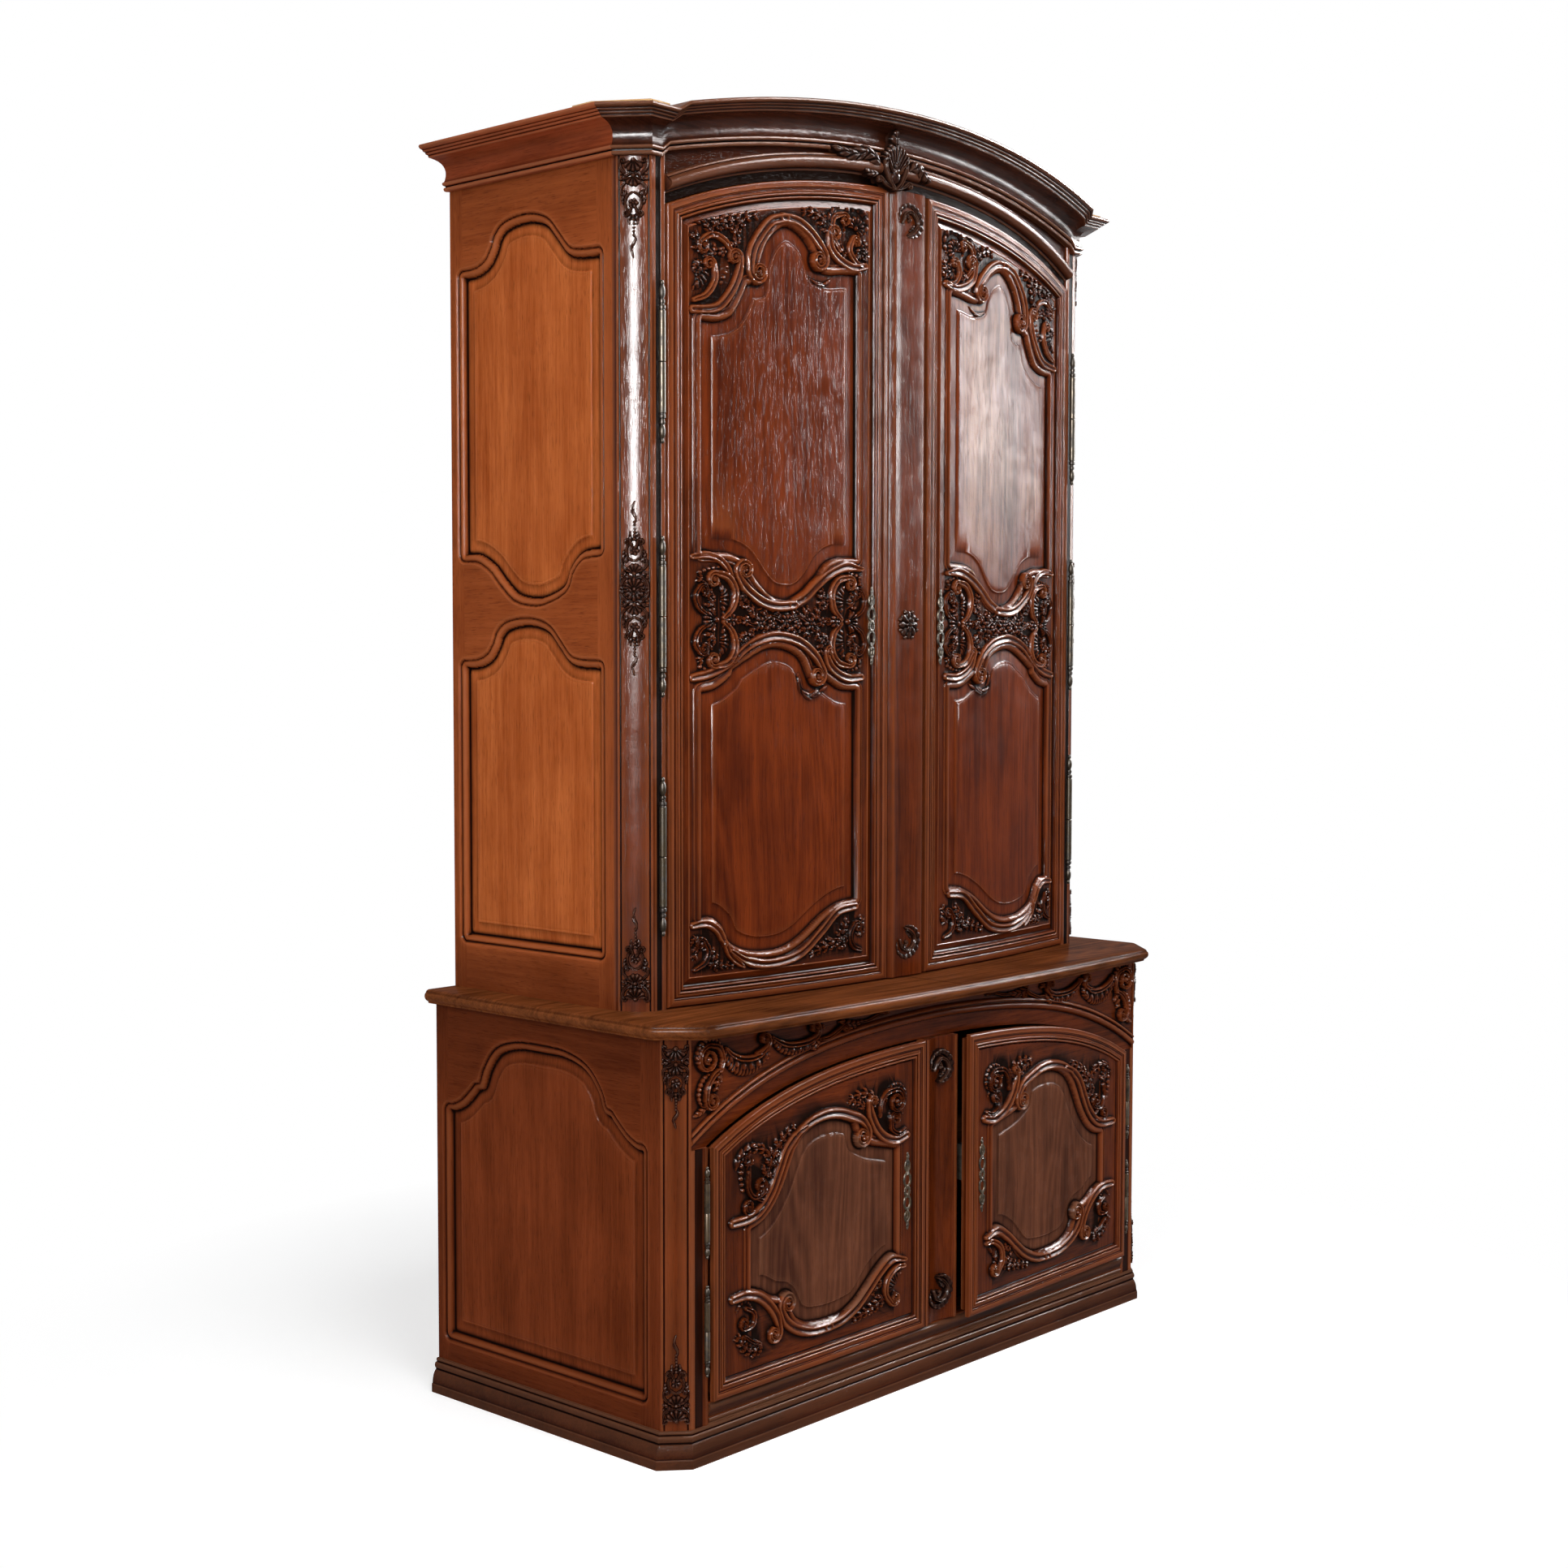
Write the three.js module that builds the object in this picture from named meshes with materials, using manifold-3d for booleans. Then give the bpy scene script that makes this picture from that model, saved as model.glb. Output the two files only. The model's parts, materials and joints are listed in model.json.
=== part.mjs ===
// A carved oak cupboard in two parts: a low cabinet with a thick top, and a tall
// bow-fronted case with an arched cornice standing on it. Both have two doors that
// turn on turned barrel hinges, and the left door of each pair carries the moulded
// strip that covers the joint between the doors.
// Millimetres, +Z up, the front faces -Y, the origin is at the middle of the base.
import * as THREE from 'three';
import { mergeVertices } from 'three/addons/utils/BufferGeometryUtils.js';
import Module from 'manifold-3d';

const wasm = await Module();
wasm.setup();

// Driving dimensions of the whole cupboard
const plinthWidth = 1620;
const baseDepth = 714;
const plinthHeight = 70;
const plinthProjection = 19.7;
const plinthFrontProjection = 14.3;
const counterUnder = 818;
const counterThickness = 29;
const counterOverhang = 30.7;
const counterFrontReach = 45.3;
const counterBow = 34;
const counterEdgeRound = 8;
const caseSetback = 50.9;
const caseHeight = 1718;
const corniceHeight = 84;
const corniceOverhang = 79.6;
const corniceRise = 89;
const corniceCurveRadius = 2950;
const doorGap = 1.5;
const meetingGap = 4;
const seat = 0.3;
const cutOverrun = 4;

// Timber sizes
const frameThickness = 30;
const panelThickness = 12;
const grooveDepth = 8;
const backThickness = 18;
const backInset = 6;
const boardThickness = 20;
const shelfThickness = 22;
const tongueThickness = 12;
const dadoDepth = 6;
const sightMoulding = 20;
const fieldBorder = 22;
const fieldRaise = 5;
const pocketDepth = 6;
const backStile = 70;

// Lower cabinet
const lowerCantWidth = 43;
const lowerCantDepth = 40;
const lowerPostDepth = 61;
const lowerStripWidth = 44.3;
const lowerFloorTop = 113.5;
const lowerRailThickness = 24;
const lowerFriezeThickness = 26;
const lowerShelfRise = 316.5;
const lowerShelfSetback = 75;
const lowerArchBeadAbove = 50;
const lowerArchBeadHeight = 24;
const lowerArchBeadProud = 5;
const lowerFrontStile = 53;
const lowerBackStile = 38;

// Upper case
const upperCantWidth = 42.4;
const upperCantDepth = 57;
const upperCantBulge = 5;
const upperStripBehindBow = 3.6;
const upperPostReturn = 10;
const upperStripWidth = 33;
const upperPostDepth = 50;
const bowFront = 104;
const bowRadius = 3840;
const friezeSetback = 6;
const friezeThickness = 28;
const friezeTopBelowCornice = 3;
const upperArchBeadAbove = 26;
const upperArchBeadHeight = 24;
const upperArchBeadProud = 12;
const upperBeadBelowCornice = 9;
const upperFloorThickness = 22;
const upperShelfRise = 743;
const upperShelfSetback = 60;
const upperFrontStile = 43;
const upperBackStile = 38;
const roofThickness = 18;
const roofSideInset = 59;
const roofBlockInset = 18;

// Doors
const rimWidth = 38;
const rimProud = 7;
const ringProud = 4;
const ringWidth = 22;
const doorThickness = 30;
const upperDoorHingeClear = 4;
const upperDoorMeetingEdge = 67;
const upperDoorBottomClear = 3;
const upperDoorSag = 114;
const upperStileWidth = 85;
const upperMeetingStileWidth = 93;
const lowerDoorHingeClear = 3;
const lowerDoorMeetingEdge = 58;
const lowerDoorBottomClear = 1.5;
const lowerCrownClear = 90;
const lowerDoorSag = 123;
const lowerDoorProud = 14.3;
const lowerStileWidth = 110;
const lowerMeetingStileWidth = 95;
const lowerDoorAjar = THREE.MathUtils.degToRad(2.5);
const lapDepth = 12;
const lapWidth = 12;
const upperStripSetback = 5;
const upperStripProud = 13;
const upperStripFillet = 14;
const lowerStripSetback = 3;
const lowerStripFlute = 11;
const lowerStripFillet = 14;
const stripThickness = 24;

// Hinges and locks
const upperHingeOutside = 16;
const upperHingeProud = 8.5;
const upperHingeRadius = 7;
const upperHingeSpace = 153;
const upperHingePlaceShares = [0.0918, 0.3911, 0.7046];
const lowerHingeOutside = 10;
const lowerHingeProud = 8.3;
const lowerHingeRadius = 5.5;
const lowerHingeSpace = 50;
const lowerHingePlaceShares = [0.102, 0.5673];
const hingeBarrelShare = 0.62;
const hingePinShare = 0.5;
const hingePinLengthShare = 0.22;
const hingeRunning = 0.06;
const hingeEndPlay = 0.4;
const leafThickness = 2.5;
const leafDepth = 24;
const leafCrankDepth = 16;
const hingeSides = 10;
const lockWidth = 110;
const lockHeight = 77;
const lockDepth = 22;
const lowerLockPlaceShare = 0.4731;
const upperLockPlaceShare = 0.4226;
const lockEdgeInset = 9;

// Heights of the openings, as shares of the height of the door or side that holds them
const topPanelShares = { sill: 0.5358, drop: 0.0542, shoulder: 0.8025, rise: 0.1246 };
const lowPanelShares = { sill: 0.1036, drop: 0.0482, shoulder: 0.3685, rise: 0.053 };
const lowerPanelShares = { sill: 0.3148, drop: 0.1713, shoulder: 0.5057, rise: 0.2904 };
const topSideShares = { sill: 0.5215, drop: 0.0541, shoulder: 0.8475, rise: 0.0524 };
const lowSideShares = { sill: 0.0646, drop: 0, shoulder: 0.3859, rise: 0.0495 };
const lowerSideShares = { sill: 0.1589, drop: 0, shoulder: 0.7274, rise: 0.1858 };

// Shares along the curved edges of the openings: first along the width from the
// hinge or the front, then up the rise of the crest or down the drop of the sill
const upperCrestShares = [
  [0, 0], [0.157, 0.06], [0.253, 0.33], [0.345, 0.4], [0.373, 0.69], [0.44, 0.91], [0.513, 1],
  [0.6, 0.95], [0.67, 0.8], [0.723, 0.65], [0.8, 0.59], [1, 0.575],
];
const upperSillShares = [
  [0, 0], [0.18, 0.02], [0.26, 0.14], [0.35, 0.65], [0.43, 0.92], [0.52, 1], [0.61, 0.92],
  [0.69, 0.65], [0.77, 0.14], [0.85, 0.02], [1, 0],
];
const middleCrestShares = [
  [0, 0], [0.18, 0.38], [0.28, 0.72], [0.38, 0.95], [0.46, 1], [0.55, 0.92], [0.62, 0.72],
  [0.7, 0.3], [0.79, 0.3], [1, 0],
];
const middleSillShares = [
  [0, 0], [0.11, 0.15], [0.18, 0.7], [0.3, 0.95], [0.42, 1], [0.52, 0.92], [0.62, 0.7],
  [0.76, 0.24], [1, -0.1],
];
const lowerCrestShares = [
  [0, 0], [0.137, 0.17], [0.212, 0.39], [0.29, 0.76], [0.35, 0.9], [0.44, 0.98], [0.537, 1],
  [0.62, 0.97], [0.685, 0.9], [0.72, 0.69], [0.8, 0.61], [1, 0.49],
];
const lowerSillShares = [
  [0, 0], [0.137, 0.22], [0.25, 0.36], [0.32, 0.82], [0.42, 0.97], [0.525, 1], [0.62, 0.97],
  [0.71, 0.9], [0.833, 0.44], [1, 0.15],
];
const sideCrestShares = [
  [0, 0], [0.14, 0.05], [0.22, 0.14], [0.3, 0.5], [0.37, 0.82], [0.45, 0.96], [0.53, 1],
  [0.62, 0.97], [0.7, 0.86], [0.74, 0.55], [0.8, 0.22], [0.88, 0.05], [1, 0],
];
const sideSillShares = [
  [0, 0], [0.11, 0.05], [0.21, 0.35], [0.3, 0.85], [0.4, 0.98], [0.49, 1], [0.6, 0.9],
  [0.69, 0.62], [0.78, 0.3], [0.89, 0.03], [1, 0],
];
const lowerSideCrestShares = [
  [0, 0], [0.08, 0.11], [0.15, 0.33], [0.19, 0.4], [0.22, 0.65], [0.28, 0.88], [0.38, 1],
  [0.63, 1], [0.72, 0.88], [0.78, 0.65], [0.81, 0.4], [0.85, 0.33], [0.92, 0.11], [1, 0],
];
const cornicePartShares = [
  [0, 0], [0.15, 0], [0.2, 0.06], [0.15, 0.13], [0.12, 0.2], [0.2, 0.26], [0.24, 0.42],
  [0.36, 0.6], [0.56, 0.7], [0.76, 0.73], [0.78, 0.8], [0.92, 0.84], [1, 0.92], [1, 1], [0, 1],
];
const plinthPartShares = [
  [0, 0], [1, 0], [1, 0.36], [0.88, 0.44], [0.8, 0.62], [0.5, 0.76], [0.56, 0.86],
  [0.42, 1], [0, 1],
];
const flatShares = [[0, 0], [1, 0]];
const counterRoundShares = [[1.6, 0], [0.5, 0.2], [0, 0.5], [0.25, 0.8], [1, 1]];
const finialShares = [[0.55, 1], [0.95, 0.86], [0.8, 0.7], [0.45, 0.6], [0.85, 0.35]];
const curveSegments = 16;
const knotMarginShare = 0.01;
const archSagShare = 0.78;
const lowerArchSagShare = 0.48;
const leafStepShare = 0.25;
const stripSteps = 6;
const cantSteps = 4;
const counterCantWidthShare = 1.84;
const counterCantDepthShare = 2.05;
const corniceCantShare = 0.35;
const corniceBlockShare = 0.74;
const corniceCornerShare = 0.697;
const roofCornerShare = 0.55;

// Places that follow from the sizes
const plinthHalf = plinthWidth / 2;
const lowerHalf = plinthHalf - plinthProjection;
const lowerFrontY = plinthFrontProjection;
const lowerSideFront = lowerFrontY + lowerCantDepth;
const lowerInnerX = lowerHalf - frameThickness;
const lowerStripInner = lowerHalf - lowerCantWidth - lowerStripWidth;
const counterTop = counterUnder + counterThickness;
const counterHalf = lowerHalf + counterOverhang;
const counterCornerY = lowerFrontY - counterFrontReach;
const counterFrontY = counterCornerY - counterBow;
const lowerShelfHeight = lowerFloorTop + lowerShelfRise;
const caseHalf = lowerHalf - caseSetback;
const caseInnerX = caseHalf - frameThickness;
const caseTop = counterTop + caseHeight;
const upperStripOuter = caseHalf - upperCantWidth;
const upperStripInner = upperStripOuter - upperStripWidth;
const upperStripY = bow(upperStripInner) + upperStripBehindBow;
const upperSideFront = upperStripY + upperCantDepth;
const upperShelfHeight = counterTop + upperFloorThickness + upperShelfRise;
const upperSideStart = upperSideFront + upperPostReturn;
const backFace = baseDepth - backInset;
const backFront = backFace - backThickness;
const centreY = (baseDepth + counterFrontY) / 2;
const archTop = caseTop + corniceRise;
const upperDoorHingeEdge = upperStripInner - upperDoorHingeClear;
const upperDoorBottom = counterTop + upperDoorBottomClear;
const upperBeadTop = upperArchBeadAbove + upperArchBeadHeight;
const upperDoorCrown = archTop - corniceHeight - upperBeadBelowCornice - upperBeadTop;
const lowerDoorHingeEdge = lowerStripInner - lowerDoorHingeClear;
const lowerDoorBottom = lowerFloorTop + lowerDoorBottomClear;
const lowerDoorCrown = counterUnder - lowerCrownClear;
const upperHingeX = upperStripInner + upperHingeOutside;
const upperHingeY = upperStripY - upperHingeProud;
const upperHinges = hingeRow(
  upperHingePlaceShares, upperDoorBottom, upperDoorCrown - upperDoorSag, upperHingeSpace,
);
const lowerHingeX = lowerStripInner + lowerHingeOutside;
const lowerHingeY = lowerFrontY - lowerHingeProud;
const lowerHinges = hingeRow(
  lowerHingePlaceShares, lowerDoorBottom, lowerDoorCrown - lowerDoorSag, lowerHingeSpace,
);

const oak = new THREE.MeshStandardMaterial({ color: 0x6e3a1a, roughness: 0.42, metalness: 0 });
const darkOak = new THREE.MeshStandardMaterial({ color: 0x4f2614, roughness: 0.32, metalness: 0 });
const panelOak = new THREE.MeshStandardMaterial({ color: 0x7a3f1b, roughness: 0.38, metalness: 0 });
const sideOak = new THREE.MeshStandardMaterial({ color: 0x86461c, roughness: 0.45, metalness: 0 });
const rawWood = new THREE.MeshStandardMaterial({ color: 0xc8a274, roughness: 0.8, metalness: 0 });
const steel = new THREE.MeshStandardMaterial({ color: 0x77726a, roughness: 0.35, metalness: 0.9 });

// Solids and cuts
function toSolid(geometry) {
  geometry.deleteAttribute('normal');
  geometry.deleteAttribute('uv');
  const merged = mergeVertices(geometry);
  const vertProperties = new Float32Array(merged.attributes.position.array);
  const triVerts = new Uint32Array(facingOut(wholeFaces(merged.index.array), vertProperties));
  return new wasm.Manifold(new wasm.Mesh({ numProp: 3, vertProperties, triVerts }));
}

// The faces without the ones that collapsed to a line on an axis
function wholeFaces(index) {
  const faces = [];
  for (let i = 0; i < index.length; i += 3) {
    const [a, b, c] = index.slice(i, i + 3);
    if (a !== b && b !== c && c !== a) {
      faces.push([a, b, c]);
    }
  }
  return faces;
}

// The faces turned so that the volume inside them is positive
function facingOut(faces, positions) {
  const corner = (i) => new THREE.Vector3().fromArray(positions, 3 * i);
  let volume = 0;
  for (const [a, b, c] of faces) {
    volume += corner(a).dot(corner(b).cross(corner(c)));
  }
  return faces.flatMap(([a, b, c]) => (volume > 0 ? [a, b, c] : [a, c, b]));
}

function toGeometry(solid) {
  const mesh = solid.getMesh();
  const geometry = new THREE.BufferGeometry();
  geometry.setAttribute('position', new THREE.BufferAttribute(mesh.vertProperties, 3));
  geometry.setIndex(new THREE.BufferAttribute(mesh.triVerts, 1));
  return geometry;
}

function mirrored(geometry) {
  const copy = geometry.clone();
  copy.scale(-1, 1, 1);
  const index = copy.index.array;
  for (let i = 0; i < index.length; i += 3) {
    [index[i], index[i + 1]] = [index[i + 1], index[i]];
  }
  return copy;
}

function prism(points, length, basis) {
  const shape = new THREE.Shape(points.map(([a, b]) => new THREE.Vector2(a, b)));
  const geometry = new THREE.ExtrudeGeometry(shape, { depth: length, bevelEnabled: false, steps: 1 });
  geometry.applyMatrix4(basis);
  return toSolid(geometry);
}

const rightward = new THREE.Vector3(1, 0, 0);
const backward = new THREE.Vector3(0, 1, 0);
const upward = new THREE.Vector3(0, 0, 1);

// An outline in plan, from one height to another
function standing(points, low, high) {
  const basis = new THREE.Matrix4().makeTranslation(0, 0, low);
  return prism(points, high - low, basis);
}

// An outline in the front view, from one depth to another
function facing(points, front, back) {
  const basis = new THREE.Matrix4().makeBasis(rightward, upward, backward.clone().negate());
  basis.setPosition(0, back, 0);
  return prism(points, back - front, basis);
}

// An outline in the side view (y, z), from one x to another
function siding(points, left, right) {
  const basis = new THREE.Matrix4().makeBasis(backward, upward, rightward);
  basis.setPosition(left, 0, 0);
  return prism(points, right - left, basis);
}

function block(x0, x1, y0, y1, z0, z1) {
  return standing([[x0, y0], [x1, y0], [x1, y1], [x0, y1]], z0, z1);
}

// A closed skin over rings of equal counts, with flat ends seen through flatten
function loft(rings, flatten) {
  const count = rings[0].length;
  const last = (rings.length - 1) * count;
  const index = [];
  for (let r = 0; r + 1 < rings.length; r += 1) {
    for (let i = 0; i < count; i += 1) {
      const a = r * count + i;
      const b = r * count + ((i + 1) % count);
      index.push(a, b, b + count, a, b + count, a + count);
    }
  }
  const outline = rings[0].map(flatten);
  const turn = Math.sign(THREE.ShapeUtils.area(outline));
  const faces = THREE.ShapeUtils.triangulateShape(outline, []);
  const areas = faces.map((face) => THREE.ShapeUtils.area(face.map((i) => outline[i])));
  const same = Math.sign(areas.reduce((sum, area) => sum + area, 0)) === turn;
  for (const [a, first, second] of faces) {
    const [b, c] = same ? [first, second] : [second, first];
    index.push(a, c, b, last + a, last + b, last + c);
  }
  const geometry = new THREE.BufferGeometry();
  geometry.setAttribute('position', new THREE.Float32BufferAttribute(rings.flat(2), 3));
  geometry.setIndex(index);
  return toSolid(geometry);
}

// The outline moved sideways by a distance, inwards when it is positive
function inset(points, distance) {
  const turn = THREE.ShapeUtils.area(points.map(([x, y]) => new THREE.Vector2(x, y))) > 0 ? 1 : -1;
  const count = points.length;
  return points.map((point, i) => {
    const before = points[(i + count - 1) % count];
    const after = points[(i + 1) % count];
    const first = new THREE.Vector2(point[0] - before[0], point[1] - before[1]).normalize();
    const second = new THREE.Vector2(after[0] - point[0], after[1] - point[1]).normalize();
    const normal = new THREE.Vector2(-first.y - second.y, first.x + second.x).multiplyScalar(turn);
    const miter = Math.max(normal.lengthSq() / 2, 1 / 2);
    return [point[0] + (normal.x * distance) / miter, point[1] + (normal.y * distance) / miter];
  });
}

// The bowed front of the upper case
function bow(x) {
  return bowFront + (x * x) / (2 * bowRadius);
}

// The places across the front where curved edges have their corners
function knotsBetween(x0, x1, half) {
  const step = (2 * half) / curveSegments;
  const places = Array.from({ length: curveSegments + 1 }, (_, i) => i * step - half);
  const margin = knotMarginShare * step;
  return [x0, ...places.filter((x) => x > x0 + margin && x < x1 - margin), x1];
}

function bowKnots(x0, x1) {
  return knotsBetween(x0, x1, upperDoorHingeEdge);
}

function lowerKnots(x0, x1) {
  return knotsBetween(x0, x1, lowerDoorHingeEdge);
}

// The layer of the bowed front between two depths behind its face
function bowedLayer(x0, x1, front, back, z0, z1) {
  const knots = bowKnots(x0, x1);
  const near = knots.map((x) => [x, bow(x) + front]);
  const far = knots.map((x) => [x, bow(x) + back]).reverse();
  return standing([...near, ...far], z0, z1);
}

function archSag(x, half, sag, share) {
  const across = (x / half) ** 2;
  return sag * (share * across + (1 - share) * across * across);
}

function upperDoorTop(x) {
  return upperDoorCrown - archSag(x, upperDoorHingeEdge, upperDoorSag, archSagShare);
}

function lowerDoorTop(x) {
  return lowerDoorCrown - archSag(x, lowerDoorHingeEdge, lowerDoorSag, lowerArchSagShare);
}

function corniceArch(x) {
  return archTop - (corniceCurveRadius - Math.sqrt(corniceCurveRadius ** 2 - x * x));
}

// An outline with a straight foot and a curved top, in the front view
function underCurve(knots, bottom, top) {
  const ends = [[knots[0], bottom], [knots[knots.length - 1], bottom]];
  return [...ends, ...knots.map((x) => [x, top(x)]).reverse()];
}

// An outline between two curves, in the front view
function betweenCurves(knots, lower, upper) {
  return [...knots.map((x) => [x, lower(x)]), ...knots.map((x) => [x, upper(x)]).reverse()];
}

// A strip that follows a curve, from one height above it to another
function alongCurve(knots, curve, low, high) {
  return betweenCurves(knots, (x) => curve(x) + low, (x) => curve(x) + high);
}

// An opening with a shaped head and sill, in a field between two sides and two heights
function opening(field, heightShares, sillShares, crestShares) {
  const { sill, drop, shoulder, rise } = heightShares;
  const width = field.to - field.from;
  const height = field.high - field.low;
  const bottom = sillShares.map(([u, v]) => [
    field.from + u * width, field.low + (sill - v * drop) * height,
  ]);
  const top = crestShares.map(([u, v]) => [
    field.from + u * width, field.low + (shoulder + v * rise) * height,
  ]);
  return [...bottom, ...top.reverse()];
}

const cabinet = new THREE.Group();
const inner = new THREE.Group();
inner.position.y = -centreY;
cabinet.add(inner);

function add(parent, name, solidOrGeometry, material) {
  const geometry = solidOrGeometry.isBufferGeometry ? solidOrGeometry : toGeometry(solidOrGeometry);
  const mesh = new THREE.Mesh(geometry, material);
  mesh.name = name;
  parent.add(mesh);
  return mesh;
}

function addPair(name, solid, material) {
  const geometry = toGeometry(solid);
  add(inner, `${name}_left`, geometry, material);
  add(inner, `${name}_right`, mirrored(geometry), material);
}

// The heights of a door's hinges, and the length that leaves a space between them
function hingeRow(places, low, high, space) {
  const heights = places.map((share) => low + share * (high - low));
  return { heights, length: heights[1] - heights[0] - space };
}

// Hinges: the fixed half carries the pin, and the door's half turns on it
function hingeSizes(radius, length) {
  const barrel = length * hingeBarrelShare;
  return {
    radius,
    finial: (length - barrel) / 2,
    middle: length / 2,
    pin: radius * hingePinShare,
    pinLength: length * hingePinLengthShare,
    barrelLow: (length - barrel) / 2,
    barrelHigh: (length + barrel) / 2,
  };
}

function lathed(profile, x, y, z) {
  const points = profile.map(([r, h]) => new THREE.Vector2(r, h));
  const geometry = new THREE.LatheGeometry(points, hingeSides);
  geometry.rotateX(Math.PI / 2);
  geometry.translate(x, y, z);
  return toSolid(geometry);
}

function fixedHinge(x, y, z, radius, length) {
  const s = hingeSizes(radius, length);
  const foot = finialShares.map(([r, h]) => [r * radius, s.finial * (1 - h)]);
  const profile = [
    [0, 0], ...foot, [radius, s.barrelLow], [radius, s.middle],
    [s.pin, s.middle], [s.pin, s.middle + s.pinLength], [0, s.middle + s.pinLength],
  ];
  const leaf = block(
    x - leafThickness / 2, x + leafThickness / 2, y, y + radius + leafDepth,
    z + s.barrelLow + seat, z + s.middle - seat,
  );
  return lathed(profile, x, y, z).add(leaf);
}

function fixedLeafSlot(x, y, z, radius, length) {
  const s = hingeSizes(radius, length);
  return block(
    x - leafThickness / 2 - seat, x + leafThickness / 2 + seat, y, y + radius + leafDepth + seat,
    z + s.barrelLow, z + s.middle,
  );
}

// The door's leaf in plan: straight into the door's edge, or cranked back to it
function lowerLeafPlan(around) {
  const y0 = lowerHingeY - leafThickness / 2 - around;
  const y1 = lowerHingeY + leafThickness / 2 + around;
  const start = -lowerHingeX + hingeBore(lowerHingeRadius) + hingeRunning;
  const end = -lowerDoorHingeEdge + leafDepth + around;
  return [[start, y0], [end, y0], [end, y1], [start, y1]];
}

function upperLeafPlan(around) {
  const near = upperHingeY + upperHingeRadius * leafStepShare;
  const deep = bow(upperDoorHingeEdge) + leafCrankDepth;
  const middle = -(upperDoorHingeEdge + upperStripInner) / 2;
  const start = -upperHingeX + hingeBore(upperHingeRadius) + hingeRunning;
  const end = -upperDoorHingeEdge + leafDepth + around;
  const thick = leafThickness / 2 + around;
  return [
    [start, near - around], [middle + thick, near - around], [middle + thick, deep - thick],
    [end, deep - thick], [end, deep + thick], [middle - thick, deep + thick],
    [middle - thick, near + leafThickness + around], [start, near + leafThickness + around],
  ];
}

function hingeBore(radius) {
  return (radius * hingePinShare) / Math.cos(Math.PI / hingeSides) + hingeRunning;
}

function doorHinge(x, y, z, radius, length, leafPlan) {
  const s = hingeSizes(radius, length);
  const low = s.middle + hingeEndPlay;
  const bore = hingeBore(radius);
  const boreTop = s.middle + s.pinLength + hingeEndPlay;
  const head = finialShares.map(([r, h]) => [r * radius, length - s.finial * (1 - h)]).reverse();
  const profile = [
    [0, boreTop], [bore, boreTop], [bore, low], [radius, low], [radius, s.barrelHigh],
    ...head, [0, length],
  ];
  const leaf = standing(leafPlan(0), z + low + seat, z + s.barrelHigh - seat);
  return lathed(profile, x, y, z).add(leaf);
}

function doorLeafSlot(plan, z, length) {
  const s = hingeSizes(0, length);
  return standing(plan, z + s.middle + hingeEndPlay, z + s.barrelHigh);
}

// The lower cabinet, left half first
function lowerPlanLine(offsetSide, offsetFront) {
  const side = lowerHalf + offsetSide;
  const front = lowerFrontY - offsetFront;
  return [
    [-side, baseDepth],
    [-side, lowerSideFront - offsetFront / 2],
    [-(lowerHalf - lowerCantWidth) - offsetSide / 2, front],
  ];
}

function bothSides(points) {
  return [...points, ...points.map(([x, y]) => [-x, y]).reverse()];
}

function plinth() {
  const near = bothSides(lowerPlanLine(0, 0));
  const far = bothSides(lowerPlanLine(plinthProjection, plinthFrontProjection));
  const rings = near.map(([x, y], i) => plinthPartShares.map(([d, h]) => [
    x + (far[i][0] - x) * d, y + (far[i][1] - y) * d, plinthHeight * h,
  ]));
  return loft(rings, ([x, , z]) => new THREE.Vector2(x, z));
}

function lowerPost() {
  const strip = -lowerStripInner;
  const rear = lowerFrontY + lowerPostDepth;
  const outline = [
    [-lowerHalf, lowerSideFront], [-lowerHalf + lowerCantWidth, lowerFrontY], [strip, lowerFrontY],
    [strip, rear], [-lowerInnerX, rear], [-lowerInnerX, lowerSideFront],
  ];
  let post = standing(outline, 0, counterUnder);
  for (const z of lowerHinges.heights) {
    post = post.subtract(fixedLeafSlot(-lowerHingeX, lowerHingeY, z, lowerHingeRadius, lowerHinges.length));
  }
  return post;
}

function lowerSideOpening() {
  const field = {
    from: lowerSideFront + lowerFrontStile, to: baseDepth - lowerBackStile, low: 0, high: counterUnder,
  };
  return opening(field, lowerSideShares, flatShares, lowerSideCrestShares);
}

function sideFrame(outer, start, low, high, openings, shelfTop) {
  const outline = [[start, low], [baseDepth, low], [baseDepth, high], [start, high]];
  let frame = siding(outline, -outer, -outer + frameThickness);
  for (const points of openings) {
    const groove = inset(points, -grooveDepth);
    const middle = -outer + frameThickness / 2;
    const half = panelThickness / 2 + seat;
    frame = frame
      .subtract(siding(points, -outer - cutOverrun, -outer + frameThickness + cutOverrun))
      .subtract(siding(inset(points, -sightMoulding / 2), -outer - cutOverrun, -outer + pocketDepth))
      .subtract(siding(inset(groove, -seat), middle - half, middle + half));
  }
  const inside = -outer + frameThickness;
  const tongue = tongueHeights(shelfTop);
  return frame.subtract(block(
    inside - dadoDepth - seat, inside + cutOverrun, start - cutOverrun, backFront + seat,
    tongue.low - seat, tongue.high + seat,
  ));
}

function tongueHeights(shelfTop) {
  const middle = shelfTop - shelfThickness / 2;
  return { low: middle - tongueThickness / 2, high: middle + tongueThickness / 2 };
}

// A shelf whose tongues run in the grooves of the two sides
function shelf(insideX, front, top) {
  const half = insideX - seat;
  const tongue = tongueHeights(top);
  const board = block(-half, half, front, backFront - seat, top - shelfThickness, top);
  const reach = insideX + dadoDepth;
  return board.add(block(-reach, reach, front, backFront - seat, tongue.low, tongue.high));
}

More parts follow.
